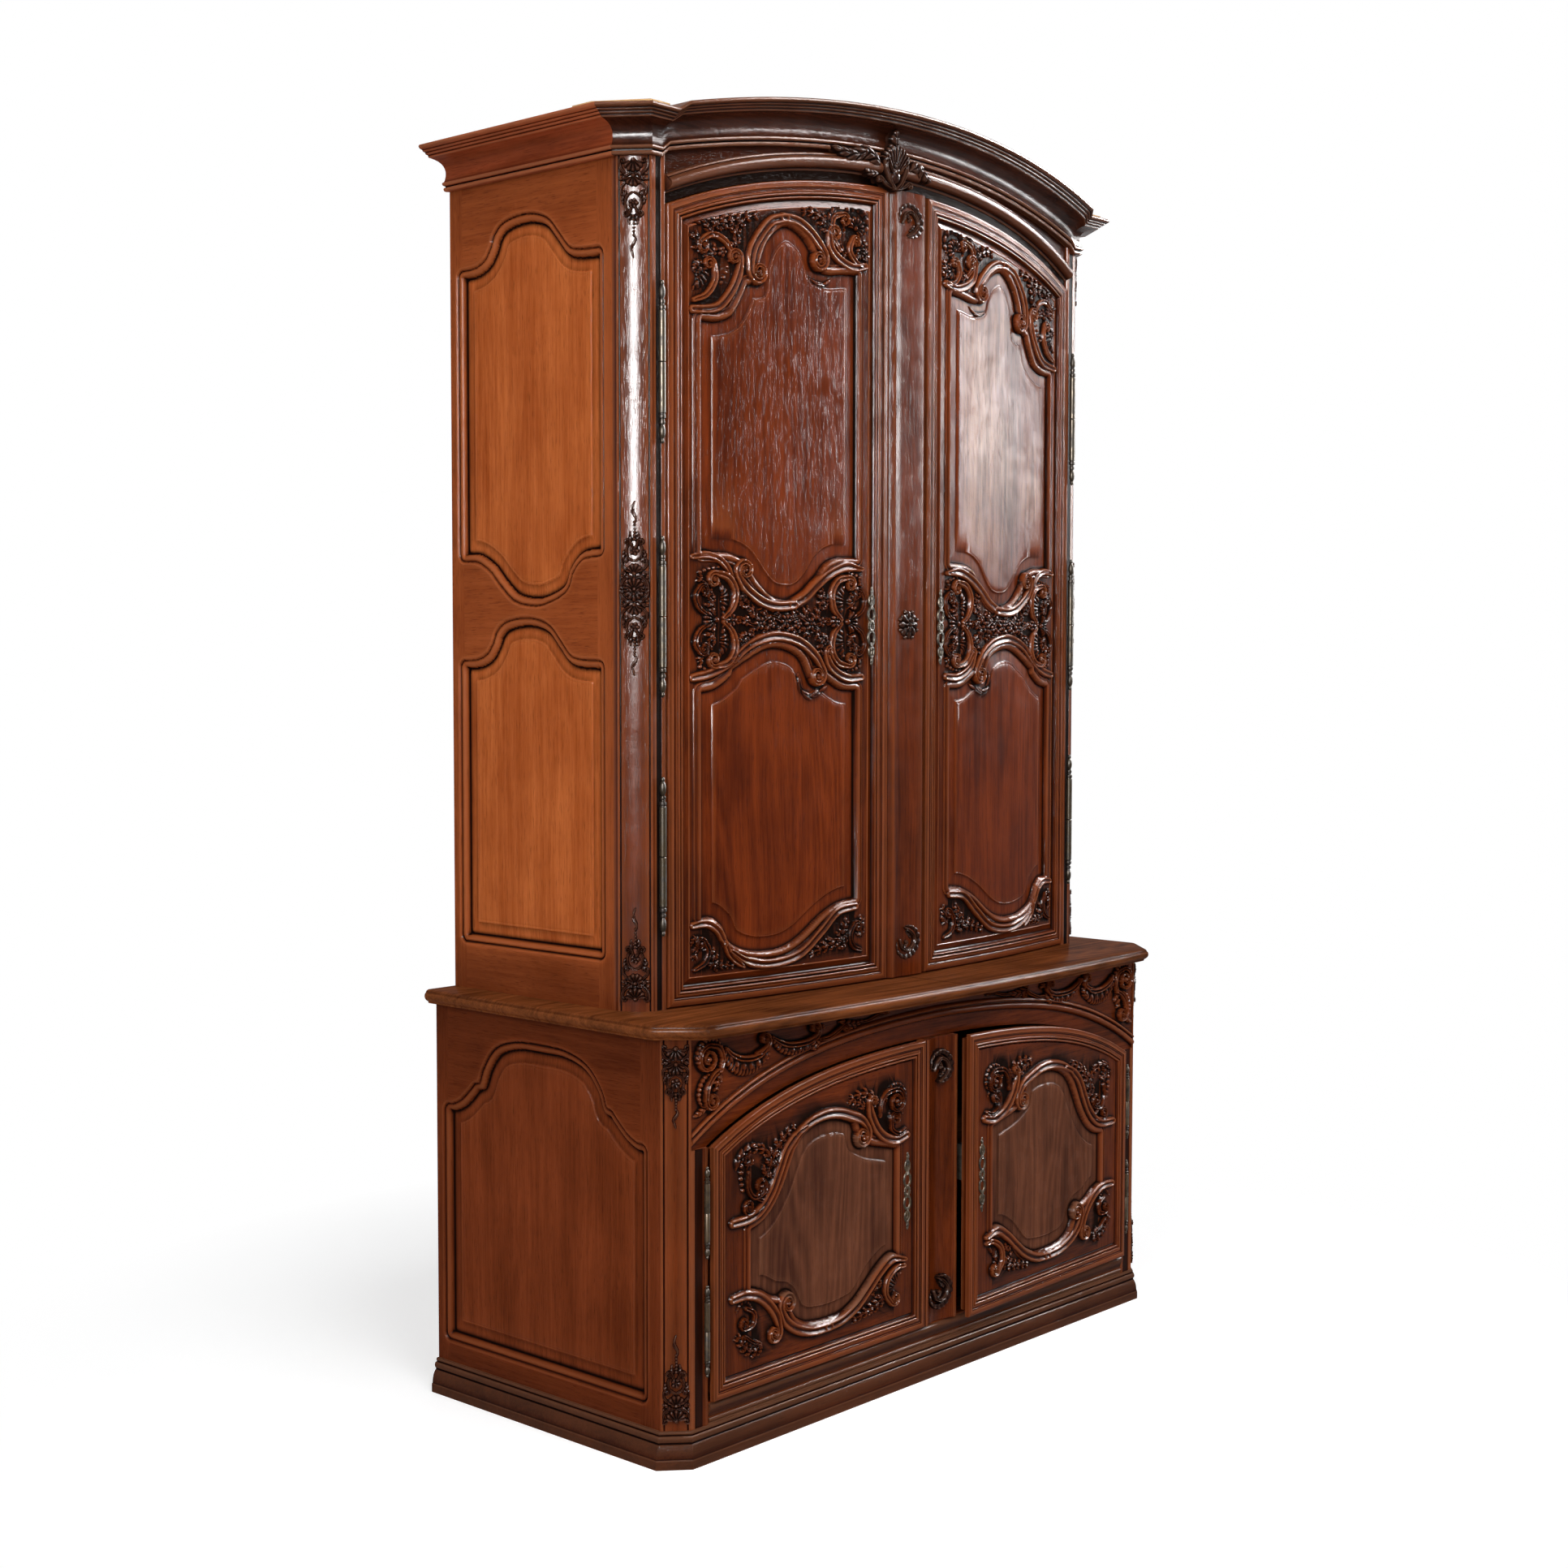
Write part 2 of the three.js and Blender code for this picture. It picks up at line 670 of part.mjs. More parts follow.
function sidePanel(outer, points) {
  const middle = -outer + frameThickness / 2;
  const half = panelThickness / 2;
  const board = siding(inset(points, -grooveDepth), middle - half, middle + half);
  return board.add(siding(inset(points, fieldBorder), middle - half - fieldRaise, middle));
}

function lowerFloor() {
  const strip = lowerStripInner - seat;
  const rail = block(
    -strip, strip, lowerFrontY, lowerFrontY + lowerRailThickness, 0, lowerFloorTop,
  );
  const front = lowerFrontY + lowerPostDepth + seat;
  const board = block(
    -lowerInnerX + seat, lowerInnerX - seat, front, backFront - seat,
    lowerFloorTop - boardThickness, lowerFloorTop,
  );
  const tongue = block(
    -strip, strip, lowerFrontY + lowerRailThickness / 2, front + cutOverrun,
    lowerFloorTop - boardThickness, lowerFloorTop,
  );
  return rail.add(board).add(tongue);
}

function framedBack(half, low, high, bays, rows) {
  let back = block(-half + seat, half - seat, backFront, backFace, low, high);
  const bayWidth = (2 * half - backStile) / bays;
  const rowHeight = (high - low - backStile) / rows;
  for (let i = 0; i < bays; i += 1) {
    for (let j = 0; j < rows; j += 1) {
      const x0 = -half + backStile + i * bayWidth;
      const z0 = low + backStile + j * rowHeight;
      back = back.subtract(block(
        x0, x0 + bayWidth - backStile, backFace - pocketDepth, backFace + cutOverrun,
        z0, z0 + rowHeight - backStile,
      ));
    }
  }
  return back;
}

function lowerFrieze() {
  const half = lowerStripInner - seat;
  const knots = lowerKnots(-half, half);
  const outline = betweenCurves(knots, (x) => lowerDoorTop(x) + doorGap, () => counterUnder);
  const board = facing(outline, lowerFrontY, lowerFrontY + lowerFriezeThickness);
  const beadTop = lowerArchBeadAbove + lowerArchBeadHeight;
  const bead = alongCurve(knots, lowerDoorTop, lowerArchBeadAbove, beadTop);
  const beadFront = lowerFrontY - lowerArchBeadProud;
  return board.add(facing(bead, beadFront, lowerFrontY + lowerFriezeThickness / 2));
}

function counterPlan() {
  const half = counterHalf;
  const cantX = half - counterCantWidthShare * lowerCantWidth;
  const cantY = counterCornerY + counterCantDepthShare * lowerCantDepth;
  const left = [[-half, baseDepth], [-half, cantY]];
  const front = [];
  const steps = curveSegments / 2;
  for (let i = -steps; i <= steps; i += 1) {
    const x = (cantX * i) / steps;
    front.push([x, counterFrontY + counterBow * (i / steps) ** 2]);
  }
  return [...left, ...front, [half, cantY], [half, baseDepth]];
}

function countertop() {
  const plan = counterPlan();
  const rings = counterRoundShares.map(([d, h]) => {
    const ring = inset(plan, counterEdgeRound * d);
    return ring.map(([x, y], i) => {
      const atBack = plan[i][1] === baseDepth;
      return [x, atBack ? baseDepth : y, counterUnder + counterThickness * h];
    });
  });
  return loft(rings, ([x, y]) => new THREE.Vector2(x, y));
}

// The upper case
// The post's plan, with its canted face swelling outwards by a bulge
function upperPostPlan(swell) {
  const corner = new THREE.Vector2(-caseHalf, upperSideFront);
  const edge = new THREE.Vector2(-upperStripOuter, upperStripY);
  const along = edge.clone().sub(corner);
  const outward = new THREE.Vector2(along.y, -along.x).normalize();
  const cant = [];
  for (let i = 0; i <= cantSteps; i += 1) {
    const t = i / cantSteps;
    const out = 4 * t * (1 - t) * swell;
    const p = corner.clone().addScaledVector(along, t).addScaledVector(outward, out);
    cant.push([p.x, p.y]);
  }
  const rear = upperStripY + upperPostDepth;
  return [
    [-caseHalf, upperSideStart], ...cant, [-upperStripInner, upperStripY],
    [-upperStripInner, rear], [-caseInnerX, rear], [-caseInnerX, upperSideStart],
  ];
}

function upperPost() {
  const shaft = standing(upperPostPlan(upperCantBulge), counterTop, caseTop - corniceHeight - seat);
  const whole = standing(upperPostPlan(0), counterTop, caseTop);
  let post = shaft.add(whole);
  for (const z of upperHinges.heights) {
    post = post.subtract(fixedLeafSlot(-upperHingeX, upperHingeY, z, upperHingeRadius, upperHinges.length));
  }
  return post;
}

function upperSideOpenings() {
  const field = {
    from: upperSideStart + upperFrontStile, to: baseDepth - upperBackStile, low: counterTop, high: caseTop,
  };
  return {
    top: opening(field, topSideShares, sideSillShares, sideCrestShares),
    low: opening(field, lowSideShares, flatShares, sideCrestShares),
  };
}

function upperFloor() {
  const half = caseInnerX - seat;
  const strip = upperStripInner - seat;
  const high = counterTop + upperFloorThickness;
  const behindPosts = upperStripY + upperPostDepth + seat;
  const start = Math.max(behindPosts, upperSideStart + seat);
  const main = block(-half, half, start, backFront - seat, counterTop, high);
  const behindDoors = Math.max(doorThickness, upperStripSetback + stripThickness) + doorGap;
  const front = bowedLayer(-strip, strip, behindDoors, doorThickness + behindPosts, counterTop, high);
  const keep = block(-strip, strip, 0, start + cutOverrun, counterTop, high);
  return main.add(front.intersect(keep));
}

function upperFrieze() {
  const half = upperStripInner - seat;
  const knots = bowKnots(-half, half);
  const low = upperDoorTop(half) - cutOverrun;
  const front = friezeSetback;
  const outline = betweenCurves(
    knots, (x) => upperDoorTop(x) + doorGap, (x) => corniceArch(x) - friezeTopBelowCornice,
  );
  const middle = front + friezeThickness / 2;
  const board = layerCut(outline, bowedLayer(-half, half, front, front + friezeThickness, low, archTop));
  const bead = alongCurve(knots, upperDoorTop, upperArchBeadAbove, upperBeadTop);
  const beadLayer = bowedLayer(-half, half, front - upperArchBeadProud, middle, low, archTop);
  return board.add(layerCut(bead, beadLayer));
}

// Base line and outer line of the cornice, with the height of its foot
function corniceStations() {
  const blockReach = corniceOverhang * corniceBlockShare;
  const outerCornerX = upperStripOuter + corniceOverhang * corniceCornerShare;
  const blockEnd = upperStripInner + upperStripWidth / 2;
  const joint = upperStripInner;
  const foot = caseTop - corniceHeight;
  const blockY = upperStripY - seat;
  const side = caseHalf + seat;
  const left = [
    { near: [-side, baseDepth], far: [-caseHalf - corniceOverhang, baseDepth], foot },
    {
      near: [-side, upperSideFront - seat],
      far: [-caseHalf - corniceOverhang, upperSideFront - corniceOverhang * corniceCantShare],
      foot,
    },
    { near: [-upperStripOuter - seat, blockY], far: [-outerCornerX, upperStripY - blockReach], foot },
    { near: [-blockEnd, blockY], far: [-blockEnd, upperStripY - blockReach], foot },
  ];
  const archFoot = (x) => corniceArch(x) - corniceHeight;
  const reach = corniceOverhang - friezeSetback / 2;
  const jointFar = bow(joint) - reach + friezeSetback;
  left.push({ near: [-joint, blockY], far: [-joint, jointFar], foot: archFoot(joint) });
  const knots = bowKnots(-upperDoorHingeEdge, 0);
  for (const x of knots) {
    const near = bow(x) + friezeSetback - seat;
    left.push({ near: [x, near], far: [x, near - reach], foot: archFoot(x) });
  }
  const right = left.slice(0, -1).reverse().map(({ near, far, foot: z }) => (
    { near: [-near[0], near[1]], far: [-far[0], far[1]], foot: z }
  ));
  return [...left, ...right];
}

function cornice() {
  const rings = corniceStations().map(({ near, far, foot }) => cornicePartShares.map(([d, h]) => [
    near[0] + (far[0] - near[0]) * d, near[1] + (far[1] - near[1]) * d, foot + corniceHeight * h,
  ]));
  return loft(rings, ([x, , z]) => new THREE.Vector2(x, z));
}

function roofBoard() {
  const sideX = caseHalf + corniceOverhang - roofSideInset;
  const tabX = caseHalf + corniceOverhang - roofBlockInset;
  const tabInner = upperStripInner + upperStripWidth / 2 + roofBlockInset / 2;
  const tabFront = upperStripY - corniceOverhang * corniceBlockShare + roofBlockInset;
  const clear = friezeSetback + friezeThickness + doorGap;
  const rear = upperSideStart + upperFrontStile;
  const cantX = upperStripOuter + corniceOverhang * roofCornerShare;
  const left = [
    [-sideX, baseDepth], [-sideX, rear], [-tabX, rear], [-tabX, upperSideFront],
    [-cantX, tabFront], [-tabInner, tabFront], [-tabInner, bow(tabInner) + clear],
  ];
  const front = bowKnots(-upperDoorHingeEdge, upperDoorHingeEdge).map((x) => [x, bow(x) + clear]);
  const right = left.map(([x, y]) => [-x, y]).reverse();
  return standing([...left, ...front, ...right], caseTop, caseTop + roofThickness);
}

// Doors
function upperDoorOutline(border) {
  const knots = bowKnots(-upperDoorHingeEdge + border, -upperDoorMeetingEdge - border);
  return underCurve(knots, upperDoorBottom + border, (x) => upperDoorTop(x) - border);
}

function upperDoorOpenings() {
  const field = {
    from: -upperDoorHingeEdge + upperStileWidth,
    to: -upperDoorMeetingEdge - upperMeetingStileWidth,
    low: upperDoorBottom,
    high: upperDoorCrown,
  };
  return {
    top: opening(field, topPanelShares, upperSillShares, upperCrestShares),
    low: opening(field, lowPanelShares, middleSillShares, middleCrestShares),
  };
}

function doorFrame(outline, openings, layer, slots, meeting) {
  const inside = layerCut(outline(rimWidth), layer(-cutOverrun, rimProud));
  const lap = layerCut(
    [[meeting - lapWidth, 0], [meeting, 0], [meeting, archTop], [meeting - lapWidth, archTop]],
    layer(doorThickness - lapDepth, doorThickness + cutOverrun),
  );
  let frame = layerCut(outline(0), layer(0, doorThickness)).subtract(inside).subtract(lap);
  for (const points of openings) {
    const ring = layerCut(inset(points, -ringWidth), layer(rimProud - ringProud, rimProud + cutOverrun));
    frame = frame.add(ring);
  }
  const middle = (rimProud + doorThickness) / 2;
  const half = panelThickness / 2 + seat;
  for (const points of openings) {
    frame = frame
      .subtract(elevation(points))
      .subtract(layerCut(inset(points, -grooveDepth - seat), layer(middle - half, middle + half)));
  }
  for (const slot of slots) {
    frame = frame.subtract(slot);
  }
  return frame;
}

function elevation(points) {
  return facing(points, -baseDepth, baseDepth);
}

function layerCut(points, solid) {
  return solid.intersect(elevation(points));
}

function doorPanel(points, layer) {
  const middle = (rimProud + doorThickness) / 2;
  const half = panelThickness / 2;
  const board = layerCut(inset(points, -grooveDepth), layer(middle - half, middle + half));
  return board.add(layerCut(inset(points, fieldBorder), layer(middle - half - fieldRaise, middle)));
}

function upperLayer(front, back) {
  return bowedLayer(-upperDoorHingeEdge, -upperDoorMeetingEdge, front, back, counterTop, archTop);
}

function lowerLayer(front, back) {
  const face = lowerFrontY - lowerDoorProud;
  return block(
    -lowerDoorHingeEdge, -lowerDoorMeetingEdge, face + front, face + back, 0, counterUnder,
  );
}

function upperDoorFrame() {
  const slots = upperHinges.heights.map((z) => doorLeafSlot(
    upperLeafPlan(seat), z, upperHinges.length,
  ));
  const { top, low } = upperDoorOpenings();
  return doorFrame(upperDoorOutline, [top, low], upperLayer, slots, -upperDoorMeetingEdge);
}

function lowerDoorOutline(border) {
  const knots = lowerKnots(-lowerDoorHingeEdge + border, -lowerDoorMeetingEdge - border);
  return underCurve(knots, lowerDoorBottom + border, (x) => lowerDoorTop(x) - border);
}

function lowerDoorOpening() {
  const field = {
    from: -lowerDoorHingeEdge + lowerStileWidth,
    to: -lowerDoorMeetingEdge - lowerMeetingStileWidth,
    low: lowerDoorBottom,
    high: lowerDoorCrown,
  };
  return opening(field, lowerPanelShares, lowerSillShares, lowerCrestShares);
}

function lowerDoorFrame() {
  const slots = lowerHinges.heights.map((z) => doorLeafSlot(
    lowerLeafPlan(seat), z, lowerHinges.length,
  ));
  return doorFrame(lowerDoorOutline, [lowerDoorOpening()], lowerLayer, slots, -lowerDoorMeetingEdge);
}

function meetingStrip(x0, x1, face, section, low, top) {
  const depth = face + stripThickness;
  const plan = [[x0, face], ...section, [x1, face], [x1, depth], [x0, depth]];
  const knots = [x0, (x0 + x1) / 2, x1];
  return layerCut(underCurve(knots, low, top), standing(plan, low, archTop));
}

function stripSection(x0, x1, fillet, face, swell) {
  const from = x0 + fillet;
  const to = x1 - fillet;
  return Array.from({ length: stripSteps + 1 }, (_, i) => {
    const t = i / stripSteps;
    return [from + (to - from) * t, face - swell * Math.sin(Math.PI * t)];
  });
}

function upperStrip() {
  const x0 = -upperDoorMeetingEdge + seat;
  const x1 = upperDoorMeetingEdge - meetingGap;
  const face = bow(upperDoorMeetingEdge) + upperStripSetback;
  const section = stripSection(x0, x1, upperStripFillet, face, upperStripProud);
  return meetingStrip(x0, x1, face, section, upperDoorBottom, upperDoorTop);
}

function lowerStrip() {
  const x0 = -lowerDoorMeetingEdge + seat;
  const x1 = lowerDoorMeetingEdge - meetingGap;
  const face = lowerFrontY - lowerDoorProud + lowerStripSetback;
  const section = stripSection(x0, x1, lowerStripFillet, face, -lowerStripFlute);
  return meetingStrip(x0, x1, face, section, lowerDoorBottom, lowerDoorTop);
}

// A lock in its flat case on the back of a door, near the edge that meets the other door
function lockCase(meeting, layer, low, high, placeShare) {
  const x = meeting - lapWidth - lockEdgeInset;
  const z = low + placeShare * (high - low);
  const outline = [[x - lockWidth, z], [x, z], [x, z + lockHeight], [x - lockWidth, z + lockHeight]];
  return layerCut(outline, layer(doorThickness, doorThickness + lockDepth));
}

function hinges(parent, side, name, geometries) {
  geometries.forEach((geometry, i) => {
    add(parent, `${name}_${i + 1}`, side < 0 ? geometry : mirrored(geometry), steel);
  });
}

// The pieces of a door in a group that turns about its hinge line
function doorGroup(side, hingeX, hingeY, ajar) {
  const turning = new THREE.Group();
  turning.position.set(side * hingeX, hingeY, 0);
  turning.rotation.z = side * ajar;
  const pieces = new THREE.Group();
  pieces.position.set(-side * hingeX, -hingeY, 0);
  turning.add(pieces);
  inner.add(turning);
  return pieces;
}

add(inner, 'plinth', plinth(), oak);
add(inner, 'lower_floor', lowerFloor(), oak);
addPair('lower_corner_post', lowerPost(), darkOak);
addPair('lower_side_frame', sideFrame(
  lowerHalf, lowerSideFront, 0, counterUnder, [lowerSideOpening()], lowerShelfHeight,
), sideOak);
addPair('lower_side_panel', sidePanel(lowerHalf, lowerSideOpening()), sideOak);
add(inner, 'lower_back', framedBack(lowerInnerX, 0, counterUnder, 3, 1), rawWood);
add(inner, 'lower_shelf', shelf(
  lowerInnerX, lowerFrontY + lowerShelfSetback, lowerShelfHeight,
), oak);
add(inner, 'lower_frieze', lowerFrieze(), darkOak);
add(inner, 'countertop', countertop(), oak);

add(inner, 'upper_floor', upperFloor(), oak);
addPair('upper_corner_post', upperPost(), darkOak);
const upperSides = upperSideOpenings();
addPair('upper_side_frame', sideFrame(
  caseHalf, upperSideStart, counterTop, caseTop, [upperSides.top, upperSides.low], upperShelfHeight,
), sideOak);
addPair('upper_side_top_panel', sidePanel(caseHalf, upperSides.top), sideOak);
addPair('upper_side_low_panel', sidePanel(caseHalf, upperSides.low), sideOak);
add(inner, 'upper_back', framedBack(caseInnerX, counterTop, caseTop, 3, 2), rawWood);
add(inner, 'upper_shelf', shelf(
  caseInnerX, upperSideStart + upperShelfSetback, upperShelfHeight,
), oak);
add(inner, 'upper_frieze', upperFrieze(), darkOak);
add(inner, 'cornice', cornice(), darkOak);
add(inner, 'roof_board', roofBoard(), rawWood);

const upperFixed = upperHinges.heights.map((z) => toGeometry(
  fixedHinge(-upperHingeX, upperHingeY, z, upperHingeRadius, upperHinges.length),
));
const upperTurning = upperHinges.heights.map((z) => toGeometry(
  doorHinge(-upperHingeX, upperHingeY, z, upperHingeRadius, upperHinges.length, upperLeafPlan),
));
const lowerFixed = lowerHinges.heights.map((z) => toGeometry(
  fixedHinge(-lowerHingeX, lowerHingeY, z, lowerHingeRadius, lowerHinges.length),
));
const lowerTurning = lowerHinges.heights.map((z) => toGeometry(
  doorHinge(-lowerHingeX, lowerHingeY, z, lowerHingeRadius, lowerHinges.length, lowerLeafPlan),
));
const upperFrame = toGeometry(upperDoorFrame());
const upperPanels = upperDoorOpenings();
const topPanel = toGeometry(doorPanel(upperPanels.top, upperLayer));
const lowPanel = toGeometry(doorPanel(upperPanels.low, upperLayer));
const lowerFrame = toGeometry(lowerDoorFrame());
const lowerPanel = toGeometry(doorPanel(lowerDoorOpening(), lowerLayer));

for (const side of [-1, 1]) {
  const word = side < 0 ? 'left' : 'right';
  const place = (geometry) => (side < 0 ? geometry : mirrored(geometry));
  hinges(inner, side, `upper_${word}_hinge_pin`, upperFixed);
  hinges(inner, side, `lower_${word}_hinge_pin`, lowerFixed);

  const upperDoor = doorGroup(side, upperHingeX, upperHingeY, 0);
  add(upperDoor, `upper_${word}_door_frame`, place(upperFrame), darkOak);
  add(upperDoor, `upper_${word}_door_top_panel`, place(topPanel), panelOak);
  add(upperDoor, `upper_${word}_door_low_panel`, place(lowPanel), panelOak);
  hinges(upperDoor, side, `upper_${word}_hinge_barrel`, upperTurning);

  const ajar = side < 0 ? 0 : lowerDoorAjar;
  const lowerDoor = doorGroup(side, lowerHingeX, lowerHingeY, ajar);
  add(lowerDoor, `lower_${word}_door_frame`, place(lowerFrame), darkOak);
  add(lowerDoor, `lower_${word}_door_panel`, place(lowerPanel), panelOak);
  hinges(lowerDoor, side, `lower_${word}_hinge_barrel`, lowerTurning);

  if (side < 0) {
    add(upperDoor, 'upper_meeting_strip', upperStrip(), darkOak);
    add(lowerDoor, 'lower_meeting_strip', lowerStrip(), darkOak);
  } else {
    const upperLock = toGeometry(lockCase(
      -upperDoorMeetingEdge, upperLayer, upperDoorBottom, upperDoorCrown, upperLockPlaceShare,
    ));
    const lowerLock = toGeometry(lockCase(
      -lowerDoorMeetingEdge, lowerLayer, lowerDoorBottom, lowerDoorCrown, lowerLockPlaceShare,
    ));
    add(upperDoor, 'upper_lock_case', place(upperLock), steel);
    add(lowerDoor, 'lower_lock_case', place(lowerLock), steel);
  }
}

export default cabinet;
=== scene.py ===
import json
import math

import bpy
import numpy as np
from mathutils import Matrix, Vector

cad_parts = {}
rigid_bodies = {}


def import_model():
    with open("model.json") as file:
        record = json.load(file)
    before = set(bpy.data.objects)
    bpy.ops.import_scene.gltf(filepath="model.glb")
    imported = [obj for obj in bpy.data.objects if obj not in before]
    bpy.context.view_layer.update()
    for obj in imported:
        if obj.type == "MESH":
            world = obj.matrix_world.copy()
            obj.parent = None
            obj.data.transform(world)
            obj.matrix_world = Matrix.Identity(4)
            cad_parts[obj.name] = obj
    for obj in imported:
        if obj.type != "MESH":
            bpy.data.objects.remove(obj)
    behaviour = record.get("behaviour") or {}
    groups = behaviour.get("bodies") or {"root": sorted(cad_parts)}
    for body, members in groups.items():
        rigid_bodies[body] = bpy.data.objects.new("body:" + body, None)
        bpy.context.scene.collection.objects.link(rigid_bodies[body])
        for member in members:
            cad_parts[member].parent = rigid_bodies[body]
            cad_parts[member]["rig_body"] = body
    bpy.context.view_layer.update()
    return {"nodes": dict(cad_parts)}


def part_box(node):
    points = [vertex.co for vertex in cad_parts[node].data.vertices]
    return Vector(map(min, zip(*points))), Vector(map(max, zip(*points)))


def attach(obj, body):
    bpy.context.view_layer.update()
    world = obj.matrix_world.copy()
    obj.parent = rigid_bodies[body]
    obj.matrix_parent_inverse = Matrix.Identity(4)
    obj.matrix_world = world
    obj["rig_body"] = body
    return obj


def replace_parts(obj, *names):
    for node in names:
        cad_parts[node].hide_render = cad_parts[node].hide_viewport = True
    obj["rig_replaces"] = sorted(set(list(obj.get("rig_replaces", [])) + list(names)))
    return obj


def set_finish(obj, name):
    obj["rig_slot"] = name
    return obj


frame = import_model()
MM = 0.001
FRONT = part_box("plinth")[0].y / MM


def corners(node):
    """The lowest and highest corner of a CAD node, in mm, with y from the plinth's front."""
    shift = np.array([0.0, FRONT, 0.0])
    return [np.array(corner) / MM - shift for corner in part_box(node)]


# Sizes from the frame
PLINTH_HALF, BACK, PLINTH_TOP = corners("plinth")[1]
LOWER_HALF = corners("lower_side_frame_right")[1][0]
LOWER_FRONT = corners("lower_corner_post_left")[0][1]
LOWER_SIDE_FRONT = corners("lower_side_frame_left")[0][1]
LOWER_STRIP_INNER = -corners("lower_corner_post_left")[1][0]
FLOOR_TOP = corners("lower_floor")[1][2]
COUNTER_LOW, COUNTER_HIGH = corners("countertop")
COUNTER_UNDER, COUNTER_TOP = COUNTER_LOW[2], COUNTER_HIGH[2]
CASE_HALF = corners("upper_side_frame_right")[1][0]
CASE_TOP = corners("upper_side_frame_left")[1][2]
POST_HIGH = corners("upper_corner_post_left")[1]
STRIP_INNER = -POST_HIGH[0]
SIDE_START = corners("upper_side_frame_left")[0][1]
CORNICE_LOW, CORNICE_HIGH = corners("cornice")
ARCH_TOP = CORNICE_HIGH[2]
DOOR_LOW, DOOR_HIGH = corners("upper_left_door_frame")
LOWER_DOOR_LOW, LOWER_DOOR_HIGH = corners("lower_left_door_frame")

# Sizes of the curves that the frame's pieces follow
BOW_FRONT = 104.0
BOW_RADIUS = 3840.0
UPPER_SAG = 114.0
UPPER_SAG_SHARE = 0.78
LOWER_SAG = 123.0
LOWER_SAG_SHARE = 0.48
UPPER_CROWN = 2511.0
LOWER_CROWN = 728.0
CORNICE_RADIUS = 2950.0
CORNICE_HEIGHT = 84.0
CANT_DEPTH = 57.0
STRIP_Y = 165.0
LOWER_CANT_WIDTH = 43.0
DOOR_THICK = 30.0
PANEL_BACK = 24.5
FINE = 1.5
AJAR = math.radians(2.5)
UPPER_HINGE_X, UPPER_HINGE_Y = 680.0, 156.5
LOWER_HINGE_X, LOWER_HINGE_Y = 713.0, 6.0
COARSE = 24.0
KEPT_FACES = 0.3
# Where the canted corners meet the fronts of the upper and the lower case
EDGE_X = STRIP_INNER + 33
LOWER_EDGE_X = LOWER_HALF - LOWER_CANT_WIDTH
# How far beyond a panel's outline its edge is shaped, in whole mm
EDGE_REACH = 38


def bow(x):
    return BOW_FRONT + x * x / (2 * BOW_RADIUS)


def sag(x, half, drop, share):
    across = (x / half) ** 2
    return drop * (share * across + (1 - share) * across * across)


def upper_top(x):
    return UPPER_CROWN - sag(x, -DOOR_LOW[0], UPPER_SAG, UPPER_SAG_SHARE)


def lower_top(x):
    return LOWER_CROWN - sag(x, -LOWER_DOOR_LOW[0], LOWER_SAG, LOWER_SAG_SHARE)


def cornice_arch(x):
    return ARCH_TOP - (CORNICE_RADIUS - np.sqrt(CORNICE_RADIUS**2 - x * x))


def bowed(lift=0.0):
    """A face of the upper case's front: (x, z, h) to a point, h outwards from the bow."""
    return lambda x, z, h: np.stack([x, bow(x) - h - lift, z], -1)


def flat(face):
    return lambda x, z, h: np.stack([x, face - h, z], -1)


def beside(outer):
    """The left side of a case: the first coordinate is y, and h is outwards."""
    return lambda y, z, h: np.stack([outer - h, y, z], -1)


# Mesh code
def facing_out(points, faces):
    """The faces, turned round if the volume that they hold comes out negative."""
    centre = points.mean(0)
    volume = 0.0
    for group in faces:
        first = points[group[:, 0]] - centre
        for k in range(1, group.shape[1] - 1):
            second = points[group[:, k]] - centre
            third = points[group[:, k + 1]] - centre
            volume += np.einsum("ij,ij->", first, np.cross(second, third))
    return faces if volume >= 0 else [group[:, ::-1] for group in faces]


def build(name, points, faces, body, material, slot, patina=None, replaces=(), sharp=32, thin=0):
    """A piece from points in mm and groups of faces, riding on a body."""
    points = np.asarray(points, float)
    faces = facing_out(points, [np.asarray(group, np.int64) for group in faces])
    mesh = bpy.data.meshes.new(name)
    mesh.vertices.add(len(points))
    placed = (points + [0.0, FRONT, 0.0]) * MM
    mesh.vertices.foreach_set("co", placed.astype(np.float32).ravel())
    loops = np.concatenate([group.ravel() for group in faces])
    sizes = np.concatenate([np.full(len(group), group.shape[1]) for group in faces])
    mesh.loops.add(len(loops))
    mesh.loops.foreach_set("vertex_index", loops.astype(np.int32))
    mesh.polygons.add(len(sizes))
    starts = np.concatenate([[0], np.cumsum(sizes)[:-1]])
    mesh.polygons.foreach_set("loop_start", starts.astype(np.int32))
    mesh.update(calc_edges=True)
    # Per-point values: painted shade where negative, in hollows and carving; rubbed wear where positive.
    if patina is not None:
        layer = mesh.attributes.new("patina", "FLOAT", "POINT")
        layer.data.foreach_set("value", np.asarray(patina, np.float32))
    piece = bpy.data.objects.new(name, mesh)
    bpy.context.scene.collection.objects.link(piece)
    if thin:
        mesh = thinned(piece, thin)
    mesh.polygons.foreach_set("use_smooth", np.ones(len(mesh.polygons), bool))
    mesh.set_sharp_from_angle(angle=math.radians(sharp))
    mesh.materials.append(material)
    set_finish(piece, slot)
    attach(piece, body)
    if replaces:
        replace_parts(piece, *replaces)
    return piece


def thinned(piece, share):
    """The piece's mesh with fewer faces where it is nearly flat."""
    modifier = piece.modifiers.new("thin", "DECIMATE")
    modifier.ratio = share
    graph = bpy.context.evaluated_depsgraph_get()
    mesh = bpy.data.meshes.new_from_object(piece.evaluated_get(graph))
    piece.modifiers.clear()
    old = piece.data
    piece.data = mesh
    name = old.name
    bpy.data.meshes.remove(old)
    mesh.name = name
    return mesh


